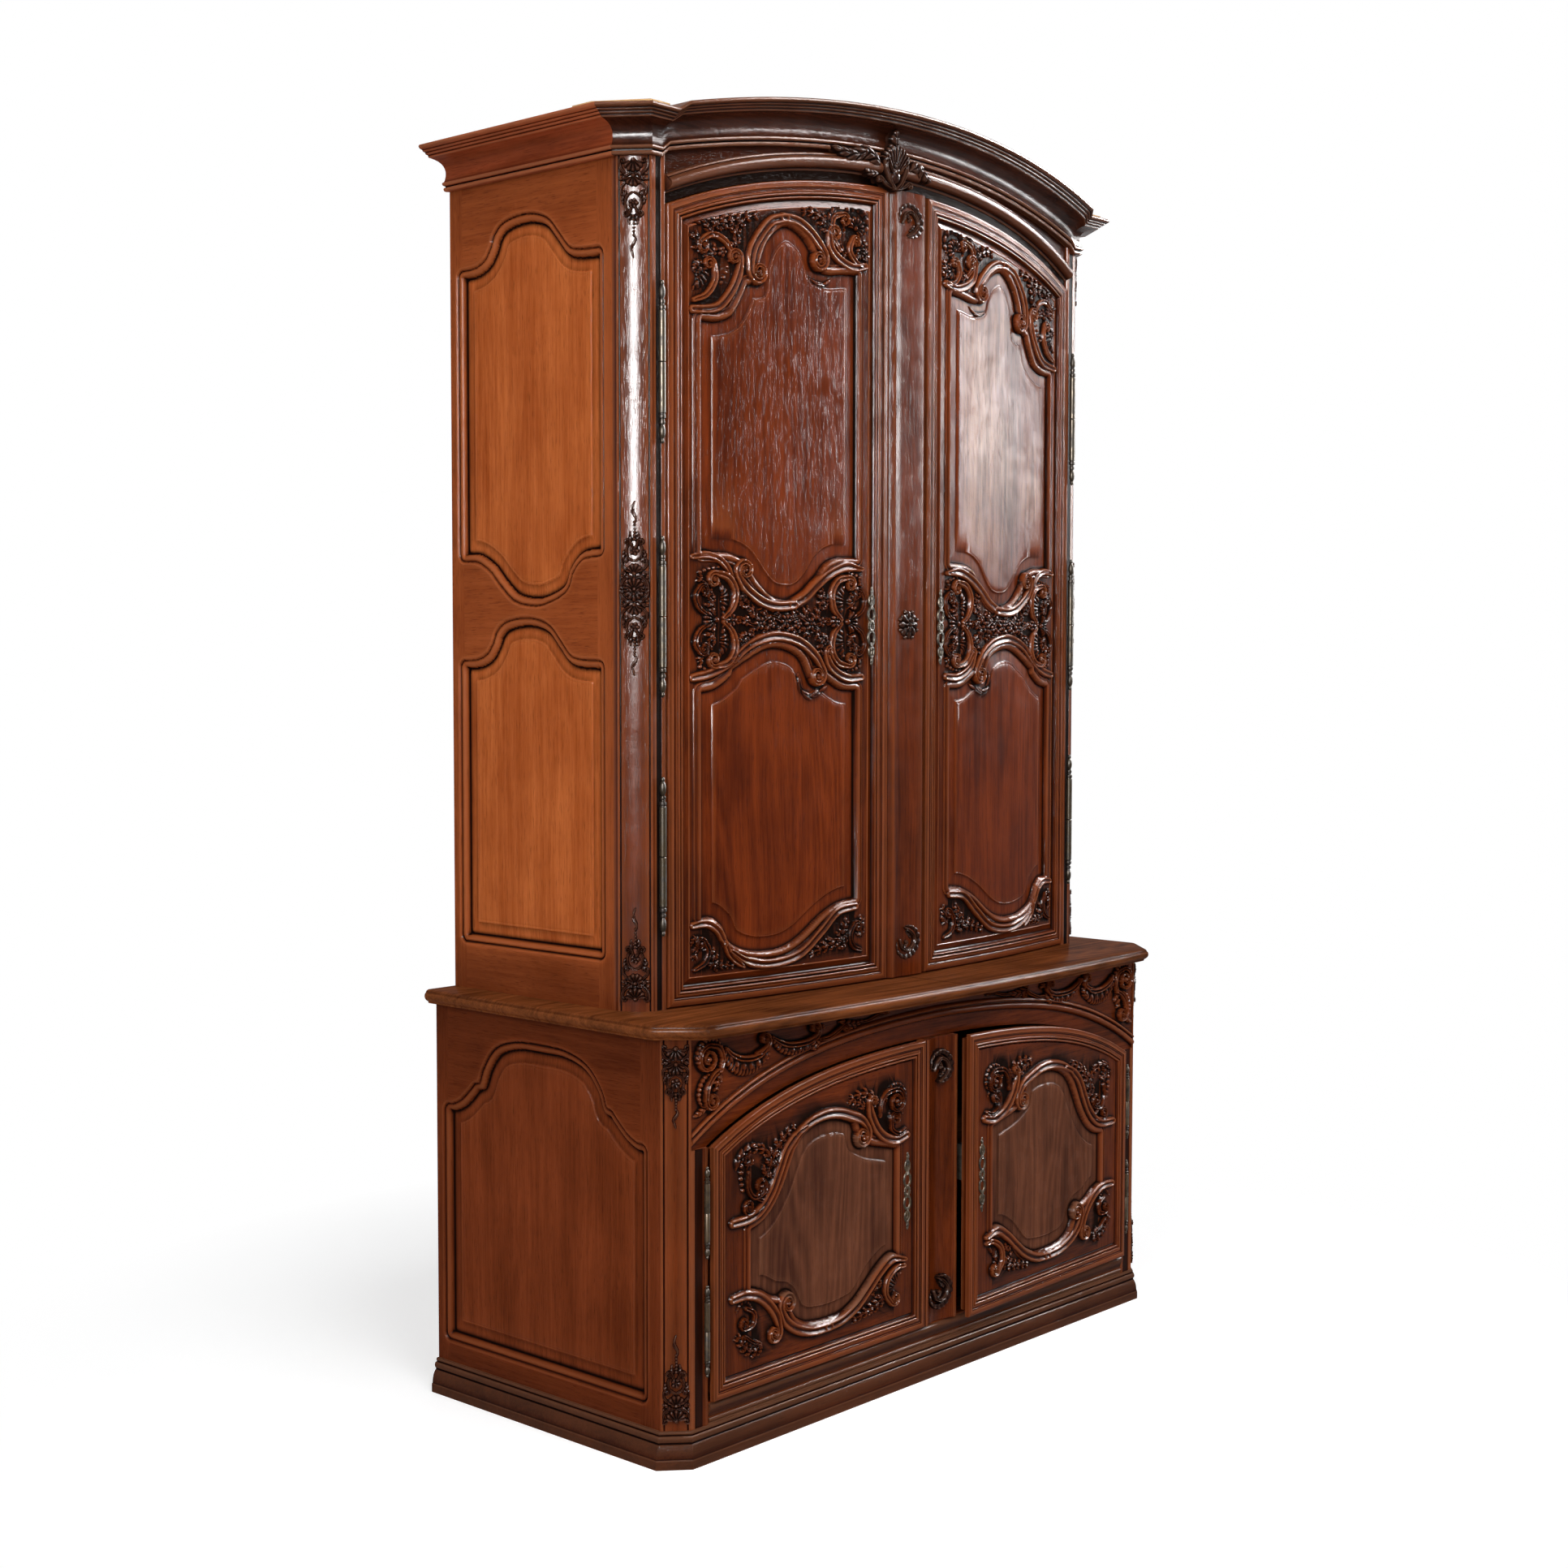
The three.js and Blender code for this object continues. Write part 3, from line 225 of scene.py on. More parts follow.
def mirrored(piece, name, body, replaces=(), turn=None):
    """The same piece on the right-hand side, turned by a matrix if one is given."""
    mesh = piece.data.copy()
    mesh.transform(Matrix.Diagonal((-1, 1, 1, 1)))
    if turn:
        mesh.transform(turn)
    mesh.flip_normals()
    mesh.name = name
    copy = bpy.data.objects.new(name, mesh)
    bpy.context.scene.collection.objects.link(copy)
    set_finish(copy, piece["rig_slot"])
    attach(copy, body)
    if replaces:
        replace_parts(copy, *replaces)
    return copy


def loft(rings):
    """Points and faces of a closed skin over rings, each a closed outline."""
    rings = np.asarray(rings, float)
    count, size = rings.shape[:2]
    row, here = np.arange(count - 1)[:, None] * size, np.arange(size)[None, :]
    there = (here + 1) % size
    around = np.stack([row + here, row + there, row + size + there, row + size + here], -1)
    first = np.arange(size)
    faces = [around.reshape(-1, 4), first[None, ::-1], first[None, :] + (count - 1) * size]
    return rings.reshape(-1, 3), faces


def rub_and_shade(profile):
    """How much each corner of a profile stands out (up to 1), for rubbed wear, or lies in a hollow (down to
    -1), for painted shade.
    """
    profile = np.asarray(profile, float)
    before, after = np.roll(profile, 1, 0), np.roll(profile, -1, 0)
    into, out = profile - before, after - profile
    turn = into[:, 0] * out[:, 1] - into[:, 1] * out[:, 0]
    turn = turn / np.maximum(np.hypot(*into.T) * np.hypot(*out.T), 1e-9)
    return np.clip(turn * turning(profile) * 0.9, -0.8, 0.8)


def turning(outline):
    """1 for an outline that runs anticlockwise, -1 for one that runs clockwise."""
    following = np.roll(outline, -1, 0)
    return np.sign(np.sum(outline[:, 0] * following[:, 1] - following[:, 0] * outline[:, 1]))


def sweep(name, path, profile, place, body, material, slot, **more):
    """A moulding: the profile's (d, h) goes d along each station's way and h out of the face.
    path is a list of (point, way) in the face's plane, and place maps (x, z, h) to space."""
    profile = np.asarray(profile, float)
    starts = np.array([start for start, _ in path], float)
    ways = np.array([way for _, way in path], float)
    flat_points = starts[:, None, :] + ways[:, None, :] * profile[None, :, :1]
    heights = np.broadcast_to(profile[None, :, 1], flat_points.shape[:2])
    points, faces = loft(place(flat_points[..., 0], flat_points[..., 1], heights))
    patina = np.tile(rub_and_shade(profile), len(path))
    return build(name, points, faces, body, material, slot, patina, **more)


def mitred(outline):
    """(point, way) along an outline, where a step along the way moves each side inwards by 1."""
    outline = np.asarray(outline, float)
    first = outline - np.roll(outline, 1, 0)
    second = np.roll(outline, -1, 0) - outline
    first /= np.hypot(*first.T)[:, None]
    second /= np.hypot(*second.T)[:, None]
    n1 = np.stack([-first[:, 1], first[:, 0]], -1)
    n2 = np.stack([-second[:, 1], second[:, 0]], -1)
    ways = (n1 + n2) / (1 + np.sum(n1 * n2, 1))[:, None]
    return list(zip(outline, ways))


def standing(name, plan, low, high, body, material, slot, top=None, **more):
    """An upright moulding: an outline in plan, from one height to another or to a curved top."""
    plan = np.asarray(plan, float)
    high = np.full(len(plan), high) if top is None else top(plan[:, 0])
    rings = [
        np.column_stack([plan, np.full(len(plan), low)]),
        np.column_stack([plan, high]),
    ]
    points, faces = loft(rings)
    return build(name, points, faces, body, material, slot, np.tile(rub_and_shade(plan), 2), **more)


# Profiles
def bead(middle, radius, top):
    """A rounded bead across a profile."""
    angles = np.linspace(math.pi, 0, 7)
    return [(middle + radius * math.cos(a), top - radius + radius * math.sin(a)) for a in angles]


def spline(points, step=3.0):
    """A smooth line through the points."""
    p = np.asarray(points, float)
    p = np.vstack([2 * p[0] - p[1], p, 2 * p[-1] - p[-2]])
    out = []
    for k in range(1, len(p) - 2):
        a, b, c, d = p[k - 1 : k + 3]
        count = max(2, int(np.hypot(*(c - b)) / step))
        t = (np.arange(count) / count)[:, None]
        out.append(0.5 * (
            2 * b + (c - a) * t + (2 * a - 5 * b + 4 * c - d) * t**2
            + (3 * b - a - 3 * c + d) * t**3
        ))
    return np.vstack(out + [p[-2:-1]])


def joined(*runs):
    """An outline of smooth runs that meet in corners."""
    parts = [spline(run) if len(run) > 2 else np.array(run, float) for run in runs]
    return np.vstack([part[:-1] for part in parts])


def curled(points, radius, turns, side, inner=0.3):
    """A smooth line whose end rolls up into a scroll, to its left where side is 1.
    It comes back with the scroll's eye and the share of the line before the scroll."""
    path = spline(points)
    way = path[-1] - path[-2]
    way /= np.hypot(*way)
    eye = path[-1] + side * radius * np.array([-way[1], way[0]])
    start = math.atan2(*(path[-1] - eye)[::-1])
    t = np.linspace(0, 1, max(8, int(16 * turns)))[1:]
    radii = radius * (1 - (1 - inner) * t)
    angles = start + side * 2 * math.pi * turns * t
    roll = eye + np.column_stack([np.cos(angles) * radii, np.sin(angles) * radii])
    body = np.hypot(*np.diff(path, axis=0).T).sum()
    whole = body + np.hypot(*np.diff(np.vstack([path[-1:], roll]), axis=0).T).sum()
    return np.vstack([path, roll]), eye, body / whole


def nearest(path, x, z):
    """The distance to a line, the share of its length there, and the side, 1 to its left."""
    legs = np.diff(path, axis=0)
    lengths = np.hypot(*legs.T)
    run = np.concatenate([[0], np.cumsum(lengths)])
    best = np.full(x.shape, np.inf)
    share = np.zeros(x.shape)
    side = np.ones(x.shape)
    for k, (leg, length) in enumerate(zip(legs, lengths)):
        if length < 1e-6:
            continue
        dx, dz = x - path[k][0], z - path[k][1]
        t = np.clip((dx * leg[0] + dz * leg[1]) / length**2, 0, 1)
        gap = (dx - t * leg[0]) ** 2 + (dz - t * leg[1]) ** 2
        closer = gap < best
        best = np.where(closer, gap, best)
        share = np.where(closer, (run[k] + t * length) / run[-1], share)
        side = np.where(closer, np.sign(leg[0] * dz - leg[1] * dx), side)
    return np.sqrt(best), share, side


def inside(outline, x, z):
    """Whether each place lies within a closed outline."""
    within = np.zeros(x.shape, bool)
    for (x0, z0), (x1, z1) in zip(outline, np.roll(outline, -1, 0)):
        if z0 == z1:
            continue
        crosses = (z0 > z) != (z1 > z)
        within ^= crosses & (x < (x1 - x0) * (z - z0) / (z1 - z0) + x0)
    return within


def signed(outline, x, z, reach):
    """The distance to a closed outline, negative inside it, exact up to reach."""
    closed = np.vstack([outline, outline[:1]])
    out = np.full(x.shape, reach)
    box = (
        (x > closed[:, 0].min() - reach) & (x < closed[:, 0].max() + reach)
        & (z > closed[:, 1].min() - reach) & (z < closed[:, 1].max() + reach)
    )
    out[box] = np.minimum(nearest(closed, x[box], z[box])[0], reach)
    return np.where(inside(outline, x, z), -out, out)


def blurred(values, cells):
    """The mean over a square of cells, twice."""
    for _ in range(2):
        for axis in (0, 1):
            padded = np.pad(values, [(cells + 1, cells) if a == axis else (0, 0) for a in (0, 1)], "edge")
            total = np.cumsum(padded, axis)
            size = values.shape[axis]
            high = np.take(total, np.arange(2 * cells + 1, 2 * cells + 1 + size), axis)
            low = np.take(total, np.arange(size), axis)
            values = (high - low) / (2 * cells + 1)
    return values


def lines(low, high, bands, marks=(), step=None):
    """Grid lines between two limits: fine in the bands, coarse elsewhere, and one at each mark."""
    step = step or FINE
    places = [low]
    while places[-1] < high:
        at = places[-1]
        fine = any(a - step <= at < b for a, b in bands)
        following = [a for a, _ in bands if a > at]
        reach = COARSE if not following else min(COARSE, max(step, following[0] - at))
        places.append(min(high, at + (step if fine else reach)))
    marks = [m for m in marks if low < m < high]
    kept = [p for p in places if all(abs(p - m) > step / 3 for m in marks)]
    return np.unique(np.round(kept + marks, 4))


class Along:
    """Places on a smooth line, by shares of its length."""

    def __init__(self, points):
        self.path = spline(points)
        self.run = np.concatenate([[0], np.cumsum(np.hypot(*np.diff(self.path, axis=0).T))])

    def __call__(self, share):
        return np.array([np.interp(share * self.run[-1], self.run, self.path[:, c]) for c in (0, 1)])


# Degrees between a frond's spine and its leaflets
FROND_LEAN = 50
# Scrolls from this width up are plain bands, without the painted shade of the finer carving
WIDE = 15
# Cells round a place whose mean height says how far the place stands out, for its painted shade and wear,
# in mm
SHADE_AND_WEAR_REACH = 4


class Relief:
    """Heights above a face, on a grid of x and z, drawn with strokes as a carver cuts them.
    The strokes rise from the ground, which is a height above the face."""

    def __init__(self, xs, zs, ground=0.0):
        self.xs, self.zs = xs, zs
        self.x, self.z = np.meshgrid(xs, zs)
        self.h = np.full(self.x.shape, float(ground))
        self.carved = np.zeros(self.x.shape, bool)
        self.plain = np.zeros(self.x.shape, bool)
        # Extra painted shade, taken off the shade values, per place or for the whole grid
        self.painted_shade = 0.0
        self.ground = ground

    def window(self, path, margin):
        """The part of the grid that holds a line and a margin round it."""
        low, high = path.min(0) - margin, path.max(0) + margin
        columns = slice(*np.searchsorted(self.xs, [low[0], high[0]]))
        band = self.z[:, columns]
        if not band.size:
            return slice(0, 0), columns
        near = np.flatnonzero((band.max(1) > low[1]) & (band.min(1) < high[1]))
        return (slice(near[0], near[-1] + 1) if len(near) else slice(0, 0)), columns

    def lift(self, window, heights, plain=False):
        """Raise the window to the heights where they are over what is there."""
        higher = heights > self.h[window]
        self.h[window] = np.where(higher, heights, self.h[window])
        self.carved[window] |= higher
        self.plain[window] = np.where(higher, plain, self.plain[window])

    def scroll(self, points, width, height, curl=None, start=0.45):
        """A ribbon with raised borders, whose end may roll up: curl is (radius, turns, side)."""
        path, eye, body = curled(points, *curl) if curl else (spline(points), None, 1.0)
        w = self.window(path, width)
        d, s, _ = nearest(path, self.x[w], self.z[w])
        grown = start + (1 - start) * np.clip(s / 0.25, 0, 1) ** 0.7
        rolled = np.clip((s - body * 0.85) / (1.001 - body * 0.85), 0, 1) ** 0.7
        thin = min(0.45, 0.34 * curl[0] / width) if curl else 0.45
        shrunk = 1 - (1 - thin) * rolled
        half = width / 2 * grown * shrunk
        q = d / half
        rounded = np.sqrt(np.clip(1 - q**4, 0, 1))
        channel = 1 - 0.4 * (0.5 + 0.5 * np.cos(2 * math.pi * np.clip(q, 0, 1) * 0.85))
        rise = height * (0.6 + 0.4 * grown) * (1 + 0.15 * (1 - shrunk))
        self.lift(w, np.where(q < 1, self.ground + rise * rounded * channel, -np.inf), width >= WIDE)
        if eye is not None:
            self.dome(eye, curl[0] * 0.25, height * 1.15)

    def leaf(self, points, width, height, lobes, base=None):
        """A pointed leaf with a midrib and slanting lobes."""
        path = spline(points)
        w = self.window(path, width)
        d, s, side = nearest(path, self.x[w], self.z[w])
        swell = np.sin(math.pi * np.clip(s, 0, 1) ** 0.75) ** 0.6 + 0.12
        slant = 0.55 * np.clip(2 * d / width, 0, 1)
        notch = 0.5 + 0.5 * np.cos(2 * math.pi * (lobes * s - slant + 0.08 * side))
        half = width / 2 * swell * (1 - 0.42 * notch**3)
        q = d / np.maximum(half, 0.1)
        crown = np.sqrt(np.clip(1 - q**2, 0, 1))
        cut = 1 - 0.5 * notch**4 * np.clip(3 * q, 0, 1)
        rib = 0.22 * np.exp(-((d / 1.3) ** 2))
        base = self.ground if base is None else base
        rise = height * (0.45 + 0.55 * swell) * crown * cut * (1 - rib)
        self.lift(w, np.where(q < 1, base + rise, -np.inf))

    def frond(self, points, reach, height, count):
        """Leaflets along a spine, shorter towards its tip, and the spine itself."""
        along = Along(points)
        for k in range(count):
            share = (k + 0.4) / count
            at = along(share)
            on = along(share + 0.06)
            way = (on - at) / max(np.hypot(*(on - at)), 1e-6)
            size = reach * (1 - 0.55 * share)
            for side in (1, -1):
                turn = math.radians(FROND_LEAN) * side
                out = np.array([
                    way[0] * math.cos(turn) - way[1] * math.sin(turn),
                    way[0] * math.sin(turn) + way[1] * math.cos(turn),
                ])
                tip = at + out * size
                bent = tip + way * size * 0.35
                self.leaf([at, at + out * size * 0.6, tip, bent], size * 0.62, height * 0.9, 3)
        self.leaf(points, reach * 0.4, height, count)

    def ruffle(self, points, width, height, ribs, side=1):
        """A ribbed shell that fans out from one side of a line."""
        path = spline(points)
        w = self.window(path, width * 1.2)
        d, s, on = nearest(path, self.x[w], self.z[w])
        rib = np.abs(np.cos(math.pi * ribs * s))
        reach = width * np.clip(np.sin(math.pi * s), 0, 1) ** 0.5 * (0.84 + 0.16 * rib)
        q = d / np.maximum(reach, 0.1)
        body = (0.4 + 0.6 * q) * (0.5 + 0.5 * rib) * np.sqrt(np.clip(1 - q**6, 0, 1))
        self.lift(w, np.where((q < 1) & (on == side), self.ground + height * body, -np.inf))

    def shell(self, centre, angle, spread, radius, ribs, height):
        """A fan of ribs round a small boss; angle and spread are degrees."""
        centre = np.array(centre, float)
        w = self.window(np.array([centre]), radius * 1.1)
        dx, dz = self.x[w] - centre[0], self.z[w] - centre[1]
        turn = (np.degrees(np.arctan2(dz, dx)) - angle + 180) % 360 - 180
        across = turn / spread
        rib = np.abs(np.cos(math.pi * ribs * (across + 0.5)))
        edge = radius * (0.9 + 0.1 * rib) * np.sqrt(np.clip(1 - 0.25 * (2 * across) ** 2, 0.2, 1))
        q = np.hypot(dx, dz) / edge
        body = (0.55 + 0.45 * rib) * (0.45 + 0.75 * q) * np.sqrt(np.clip(1 - q**6, 0, 1))
        within = (q < 1) & (np.abs(across) < 0.5)
        self.lift(w, np.where(within, self.ground + height * body, -np.inf))
        self.dome(centre, radius * 0.22, height)

    def flower(self, centre, radius, petals, height):
        """Petals round a boss."""
        w = self.window(np.array([centre], float), radius * 1.1)
        dx, dz = self.x[w] - centre[0], self.z[w] - centre[1]
        wave = np.abs(np.cos(np.arctan2(dz, dx) * petals / 2))
        q = np.hypot(dx, dz) / (radius * (0.62 + 0.38 * wave**0.7))
        cup = (0.55 + 0.6 * q) * np.sqrt(np.clip(1 - q**4, 0, 1)) * (0.6 + 0.4 * wave)
        self.lift(w, np.where(q < 1, self.ground + height * cup, -np.inf))
        self.dome(centre, radius * 0.3, height * 1.05)

    def dome(self, centre, radius, height):
        w = self.window(np.array([centre], float), radius)
        q = np.hypot(self.x[w] - centre[0], self.z[w] - centre[1]) / radius
        crown = height * np.sqrt(np.clip(1 - q * q, 0, 1))
        self.lift(w, np.where(q < 1, self.ground + crown, -np.inf))

    def pearls(self, points, radius, height, count, last=0.6):
        """A row of beads that grow smaller towards the end."""
        along = Along(points)
        for k in range(count):
            share = k / max(count - 1, 1)
            size = 1 + (last - 1) * share
            self.dome(along(share), radius * size, height * size)

    def patina(self, dark=0.5):
        """How far each place is rubbed bright by wear (up to 1) or darkened with painted shade (down to
        -1): in hollows, over the finer carving, and by the extra painted shade that is set.
        """
        cells = max(1, round(SHADE_AND_WEAR_REACH / FINE))
        detail = np.clip((self.h - blurred(self.h, cells)) / 2.2, -1, 1)
        # Painted shade over the finer carving, by how much carving is round each place
        shade = blurred((self.carved & ~self.plain).astype(float), cells)
        return np.clip(0.7 * detail - dark * shade - self.painted_shade, -1, 1)

    def solid(self, name, place, back, body, material, slot, mask=None, dark=0.5, thin=0, **more):
        """A closed piece of the grid's cells in the mask: carved face, back and walls."""
        rows, columns = self.h.shape
        cells = np.ones((rows - 1, columns - 1), bool) if mask is None else mask
        index = np.arange(rows * columns).reshape(rows, columns)
        corners_of = [index[:-1, :-1], index[:-1, 1:], index[1:, 1:], index[1:, :-1]]
        face = np.stack([c[cells] for c in corners_of], -1)
        total = rows * columns
        walls = []
        for axis, step, a, b in ((0, -1, 0, 1), (0, 1, 2, 3), (1, -1, 3, 0), (1, 1, 1, 2)):
            beyond = np.zeros_like(cells)
            later, earlier = slice(1, None), slice(None, -1)
            target, source = [slice(None)] * 2, [slice(None)] * 2
            target[axis], source[axis] = (later, earlier) if step < 0 else (earlier, later)
            beyond[tuple(target)] = cells[tuple(source)]
            edge = cells & ~beyond
            one, two = corners_of[a][edge], corners_of[b][edge]
            walls.append(np.stack([two, one, one + total, two + total], -1))
        behind = np.broadcast_to(np.asarray(back, float), self.h.shape)
        points = np.concatenate([
            place(self.x, self.z, self.h).reshape(-1, 3), place(self.x, self.z, behind).reshape(-1, 3),
        ])
        faces = np.concatenate([face, face[:, ::-1] + total] + walls)
        used = np.unique(faces)
        number = np.zeros(2 * total, np.int64)
        number[used] = np.arange(len(used))
        shade = self.patina(dark).ravel()
        patina = np.concatenate([shade, np.zeros(total)])[used]
        return build(
            name, points[used], [number[faces]], body, material, slot, patina, thin=thin, **more
        )


# Materials
class Shader:
    """The nodes of a material or a world, written as calls."""

    def __init__(self, owner):
        owner.use_nodes = True
        self.owner = owner
        self.tree = owner.node_tree
        self.tree.nodes.clear()

    def node(self, kind, inputs=(), **settings):
        made = self.tree.nodes.new(kind)
        for key, value in settings.items():
            setattr(made, key, value)
        for key, value in dict(inputs).items():
            if isinstance(value, bpy.types.NodeSocket):
                self.tree.links.new(value, made.inputs[key])
            else:
                made.inputs[key].default_value = value
        return made

    def math(self, operation, *values, clamp=False):
        inputs = dict(enumerate(values))
        return self.node("ShaderNodeMath", inputs, operation=operation, use_clamp=clamp).outputs[0]

    def mix(self, share, first, second):
        inputs = {0: share, 6: first, 7: second}
        return self.node("ShaderNodeMix", inputs, data_type="RGBA").outputs[2]

    def noise(self, vector, scale, detail=4, roughness=0.55):
        inputs = {"Vector": vector, "Scale": scale, "Detail": detail, "Roughness": roughness}
        return self.node("ShaderNodeTexNoise", inputs).outputs["Fac"]

    def span(self, value, low, high, to_low=0.0, to_high=1.0):
        inputs = {"Value": value, 1: low, 2: high, 3: to_low, 4: to_high}
        return self.node("ShaderNodeMapRange", inputs, clamp=True).outputs[0]

    def finish(self, **sockets):
        inputs = {key.replace("_", " "): value for key, value in sockets.items()}
        shader = self.node("ShaderNodeBsdfPrincipled", inputs)
        self.node("ShaderNodeOutputMaterial", {0: shader.outputs[0]})
        return self.owner


def linear(red, green, blue):
    """A colour as seen (0 to 255) in the linear values that shaders take."""
    values = [v / 255 for v in (red, green, blue)]
    return tuple(v / 12.92 if v <= 0.04045 else ((v + 0.055) / 1.055) ** 2.4 for v in values) + (1.0,)


# The near-black that painted shade in hollows and creases is mixed towards
SHADE_BLACK = linear(22, 11, 7)


def wood(name, light, dark, worn, grain="z", shift=0.0, gloss=0.3, coat=0.5, figure=0.5, ripple=0.35):
    """Waxed oak with its grain along an axis: growth rings, streaks, pores, painted shade in the hollows
    and rubbed edges. light, dark and worn are colours as seen."""
    s = Shader(bpy.data.materials.new(name))
    places = s.node("ShaderNodeSeparateXYZ", {0: s.node("ShaderNodeTexCoord").outputs["Object"]})
    axes = {"x": (1, 2, 0), "y": (0, 2, 1), "z": (0, 1, 2)}[grain]
    across, other, along = (places.outputs[axis] for axis in axes)
    across = s.math("ADD", across, shift)
    base = s.node("ShaderNodeCombineXYZ", {0: across, 1: other, 2: along}).outputs[0]
    sway = s.math("MULTIPLY", s.noise(base, 2.2, 2), 0.035)
    swayed = s.math("ADD", across, sway)

    def stretched(fine, coarse):
        """Places scaled across the grain and, much less, along it."""
        return s.node("ShaderNodeCombineXYZ", {
            0: s.math("MULTIPLY", swayed, fine), 1: s.math("MULTIPLY", other, fine),
            2: s.math("MULTIPLY", along, coarse),
        }).outputs[0]

    rings = s.math("SINE", s.math("MULTIPLY", s.noise(stretched(9.0, 0.9), 1.0, 1.5, 0.4), 85.0))
    streaks = s.noise(stretched(160.0, 5.0), 1.0, 5, 0.65)
    pores = s.span(s.noise(stretched(620.0, 32.0), 1.0, 2, 0.5), 0.56, 0.72)
    blotches = s.noise(base, 5.5, 3)
    heart = s.span(s.noise(stretched(14.0, 1.1), 1.0, 3), 0.3, 0.7, -0.3, 0.3)
    tone = s.math("ADD", s.math("MULTIPLY", rings, 0.16 * figure), s.span(streaks, 0.2, 0.8, 0.1, 0.9))
    tone = s.math("ADD", tone, heart)
    tone = s.math("ADD", tone, s.span(blotches, 0.3, 0.7, -0.22, 0.22), clamp=True)
    colour = s.mix(tone, linear(*dark), linear(*light))
    colour = s.mix(s.math("MULTIPLY", pores, 0.5), colour, linear(*[c * 0.5 for c in dark]))
    # Painted shade: hollows are mixed towards near-black; rubbed edges towards the worn colour, which is
    # wear
    patina = s.node("ShaderNodeAttribute", attribute_name="patina").outputs["Fac"]
    hollow_shade = s.math("MULTIPLY", patina, -1.5, clamp=True)
    rubbed = s.math("MULTIPLY", patina, 0.75, clamp=True)
    colour = s.mix(hollow_shade, colour, SHADE_BLACK)
    colour = s.mix(rubbed, colour, linear(*worn))
    rough = s.span(s.noise(base, 22.0, 3), 0.3, 0.7, gloss - 0.07, gloss + 0.1)
    rough = s.math("ADD", rough, s.math("MULTIPLY", pores, 0.12))
    hand = s.noise(base, 75.0, 2)
    height = s.math("ADD", s.math("MULTIPLY", hand, ripple), s.math("MULTIPLY", pores, -0.35))
    height = s.math("ADD", height, s.math("MULTIPLY", streaks, 0.18))
    bump = s.node("ShaderNodeBump", {"Strength": 0.35, "Distance": 0.0012, "Height": height})
    return s.finish(
        Base_Color=colour, Roughness=0.6, Normal=bump.outputs[0], Specular_IOR_Level=0.0,
        Coat_Weight=s.span(hollow_shade, 0.5, 1.0, coat, coat * 0.3), Coat_IOR=1.2,
        Coat_Roughness=s.math("MULTIPLY", rough, 0.5), Coat_Normal=bump.outputs[0],
    )


def metal(name, bright, dull, rough=0.3):
    """Iron polished by hands, with painted shade in the turnings."""
    s = Shader(bpy.data.materials.new(name))
    place = s.node("ShaderNodeTexCoord").outputs["Object"]
    stain = s.span(s.noise(place, 60.0, 5), 0.42, 0.68)
    colour = s.mix(stain, linear(*bright), linear(*dull))
    # Painted shade: the turnings' hollows are mixed towards near-black
    patina = s.node("ShaderNodeAttribute", attribute_name="patina").outputs["Fac"]
    hollow_shade = s.math("MULTIPLY", patina, -0.9, clamp=True)
    colour = s.mix(hollow_shade, colour, SHADE_BLACK)
    roughness = s.math("ADD", s.math("MULTIPLY", stain, 0.25), rough)
    bump = s.node("ShaderNodeBump", {
        "Strength": 0.25, "Distance": 0.0006, "Height": s.noise(place, 300.0, 3),
    })
    return s.finish(
        Base_Color=colour, Roughness=roughness, Metallic=0.1, Specular_IOR_Level=0.05,
        Normal=bump.outputs[0],
    )


OAK_TONES = {"light": (131, 59, 21), "dark": (72, 28, 8), "worn": (166, 98, 58)}
DARK_TONES = {"light": (108, 44, 14), "dark": (53, 18, 4), "worn": (152, 84, 48)}
SIDE_TONES = {"light": (163, 83, 42), "dark": (126, 58, 26), "worn": (178, 102, 60)}
LOW_SIDE_TONES = {"light": (124, 58, 29), "dark": (94, 40, 18), "worn": (142, 80, 46)}
rail_oak = wood("rail_oak", grain="x", shift=0.7, coat=0.2, **OAK_TONES)
plinth_oak = wood("plinth_oak", (78, 38, 20), (44, 19, 10), (128, 86, 62), "x", 0.2, 0.3, 0.2)
dark_oak = wood("dark_oak", gloss=0.26, coat=0.34, **DARK_TONES)
dark_rail = wood("dark_rail", grain="x", shift=0.3, gloss=0.26, coat=0.34, **DARK_TONES)
carved_oak = wood("carved_oak", (64, 34, 22), (36, 17, 11), (118, 84, 66), gloss=0.26, coat=0.4)
polished = wood("polished_oak", gloss=0.38, coat=0.6, ripple=0.6, **DARK_TONES)
polished_rail = wood("polished_rail", (88, 42, 24), (46, 20, 10), (128, 80, 54), "x", 0.3, 0.36, 0.55,
                     ripple=1.2)
panel_oak = wood("panel_oak", (118, 48, 16), (68, 22, 5), (146, 76, 38), figure=0.9, gloss=0.3, coat=0.3)
lower_panel = wood("lower_panel", (112, 66, 45), (68, 37, 25), (130, 84, 60), figure=1.1, gloss=0.5,
                   coat=0.14)
side_oak = wood("side_oak", gloss=0.36, coat=0.08, figure=0.3, **SIDE_TONES)
side_rail = wood("side_rail", grain="y", shift=0.5, gloss=0.36, coat=0.08, figure=0.3, **SIDE_TONES)
side_panel = wood("side_panel", (202, 110, 56), (156, 73, 31), (190, 112, 62), figure=0.5, gloss=0.38,
                  coat=0.08)
side_cornice = wood("side_cornice", (178, 86, 50), (126, 56, 30), (160, 104, 72), "y", 0.1, 0.3, 0.1, 0.3)
low_side_oak = wood("low_side_oak", gloss=0.36, coat=0.08, figure=0.3, **LOW_SIDE_TONES)
low_side_rail = wood("low_side_rail", grain="y", shift=0.5, gloss=0.36, coat=0.08, figure=0.3,
                     **LOW_SIDE_TONES)
low_side_panel = wood("low_side_panel", (132, 62, 31), (97, 42, 19), (144, 80, 46), figure=0.5,
                      gloss=0.38, coat=0.08)
